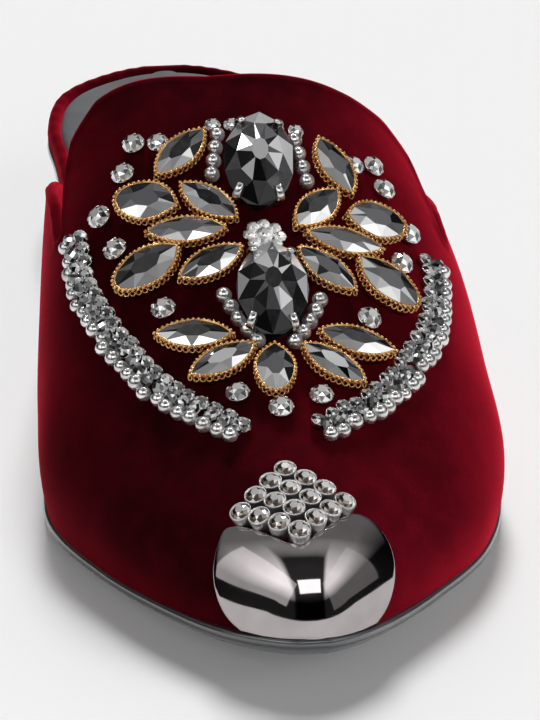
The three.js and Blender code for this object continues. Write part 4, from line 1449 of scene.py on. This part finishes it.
# %% Floor
FLOOR_HALF = 4.0
FLOOR_AT = -0.0002
corners = [(x * FLOOR_HALF, y * FLOOR_HALF, FLOOR_AT) for x, y in ((-1, -1), (1, -1), (1, 1), (-1, 1))]
floor_mesh = bpy.data.meshes.new("floor")
floor_mesh.from_pydata(corners, [], [(0, 1, 2, 3)])
floor = add_object("floor", floor_mesh)
paper = Finish("paper", specular_ior_level=0.2)
paper.feed("Base Color", paper.mix(paper.noise(300), (0.84, 0.84, 0.84), (0.87, 0.87, 0.87)))
paper.feed("Roughness", 0.6 + 0.1 * paper.noise(40))
floor_mesh.materials.append(paper.material)
floor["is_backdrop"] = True
print("floor:", 2 * FLOOR_HALF, "m wide")


# %% Lights
def look(item, place, aim):
    """Puts a lamp or a camera at its place and turns it to its aim."""
    item.location = place
    item.rotation_mode = "QUATERNION"
    item.rotation_quaternion = (Vector(aim) - Vector(place)).to_track_quat("-Z", "Y")


def add_light(name, kind, place, aim, **settings):
    data = bpy.data.lights.new(name, kind)
    for key, value in settings.items():
        setattr(data, key, value)
    lamp = add_object(name, data)
    look(lamp, place, aim)
    return lamp


def far_light(name, toward, strength, spread, shadow=True):
    """A light so far off that it is even all over the floor; a wide spread softens its shadows."""
    settings = {"energy": strength, "angle": math.radians(spread), "use_shadow": shadow}
    lamp = add_light(name, "SUN", toward, (0.0, 0.0, 0.0), **settings)
    lamp.visible_glossy = False


def mirrored_light(name, place, aim, width, height, power):
    """A panel that shows in polished things and lights nothing else."""
    settings = {"shape": "RECTANGLE", "size": width, "size_y": height, "energy": power}
    lamp = add_light(name, "AREA", place, aim, **settings)
    lamp.visible_diffuse = False


far_light("key", (0.08, 0.74, 0.67), strength=3.0, spread=16.0)
far_light("back", (0.0, 0.88, 0.47), strength=0.85, spread=30.0)
far_light("right_fill", (0.98, -0.14, 0.07), strength=3.4, spread=50.0, shadow=False)
far_light("front_fill", (0.14, -0.96, 0.20), strength=1.0, spread=60.0, shadow=False)
vamp = (0.0, -0.12, 0.05)
mirrored_light("left_panel", (-1.2, -0.62, 0.95), vamp, width=1.6, height=1.1, power=3.1)
mirrored_light("right_panel", (1.2, -0.62, 0.75), vamp, width=1.4, height=1.2, power=0.9)
mirrored_light("window", (0.03, -1.2, 1.2), (0.0, -0.12, 0.02), width=1.05, height=0.55, power=4.4)
for k, place in enumerate(((-0.45, 0.75, 1.4), (0.1, 0.95, 1.4), (0.5, 0.7, 1.4))):
    mirrored_light(f"spark_{k}", place, (0.0, 0.0, 0.05), width=0.12, height=0.12, power=2.0)
print("lights:", len(bpy.data.lights))

# %% Room
BACKDROP = (0.86, 0.86, 0.86)
ROOM_LIGHT = 0.24
ROOM_MIRRORED = 1.0
world = bpy.data.worlds.new("studio")
bpy.context.scene.world = world
world.use_nodes = True
air = world.node_tree
backdrop = air.nodes["Background"]
plug(air, backdrop.inputs["Color"], BACKDROP)


def ramp(value, low, high, start, end):
    """Goes from start to end while the value goes from low to high."""
    sockets = {"Value": value, "From Min": low, "From Max": high, "To Min": start, "To Max": end}
    return add_node(air, "ShaderNodeMapRange", {}, sockets)


def air_math(operation, *values):
    return add_node(air, "ShaderNodeMath", {"operation": operation}, dict(enumerate(values)))


direction = add_node(air, "ShaderNodeTexCoord", {}, {}, "Generated")
split = add_node(air, "ShaderNodeSeparateXYZ", {}, {"Vector": direction}).node.outputs
ceiling = ramp(split["Z"], 0.4, 0.64, 0.02, 1.35)
front = ramp(split["Y"], 0.25, -0.3, 0.16, 1.0)
beside_camera = ramp(air_math("ABSOLUTE", split["X"]), 0.4, 0.48, 0.03, 1.0)
behind = ramp(split["Y"], -0.1, 0.2, 0.0, 1.0)
shaded = air_math("MULTIPLY", air_math("MAXIMUM", beside_camera, behind), front)
rays = add_node(air, "ShaderNodeLightPath", {}, {}).node.outputs
strength = ramp(rays["Is Glossy Ray"], 0.0, 1.0, ROOM_LIGHT, ROOM_MIRRORED)
glow = {"Color": air_math("MULTIPLY", ceiling, shaded), "Strength": strength}
room = add_node(air, "ShaderNodeBackground", {}, glow)
sockets = {0: rays["Is Camera Ray"], 1: room, 2: backdrop.outputs["Background"]}
shown = add_node(air, "ShaderNodeMixShader", {}, sockets)
plug(air, air.nodes["World Output"].inputs["Surface"], shown)
bpy.context.scene.view_settings.view_transform = "Standard"
print("room:", len(air.nodes), "nodes")

# %% Camera
CAMERA_PLACE = (-0.1104, -0.9554, 0.42)
CAMERA_AIM = (0.0, -0.0548, 0.03)
CAMERA_LENS = 262.0
camera = add_object("camera", bpy.data.cameras.new("camera"))
camera.data.lens = CAMERA_LENS
look(camera, CAMERA_PLACE, CAMERA_AIM)
bpy.context.scene.camera = camera
print("camera:", round(math.dist(CAMERA_AIM, CAMERA_PLACE), 3), "m from the shoe")

# %% [markdown]
# ## Finish
# Both boxes, of the solids and of the dressed shoe, are printed at the end. The dressed shoe must stay as
# large as its solids.

# %% Sizes and finish
sizes = {"cad": cad_box, "visual": [list(corner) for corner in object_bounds()]}
print("sizes:", sizes)
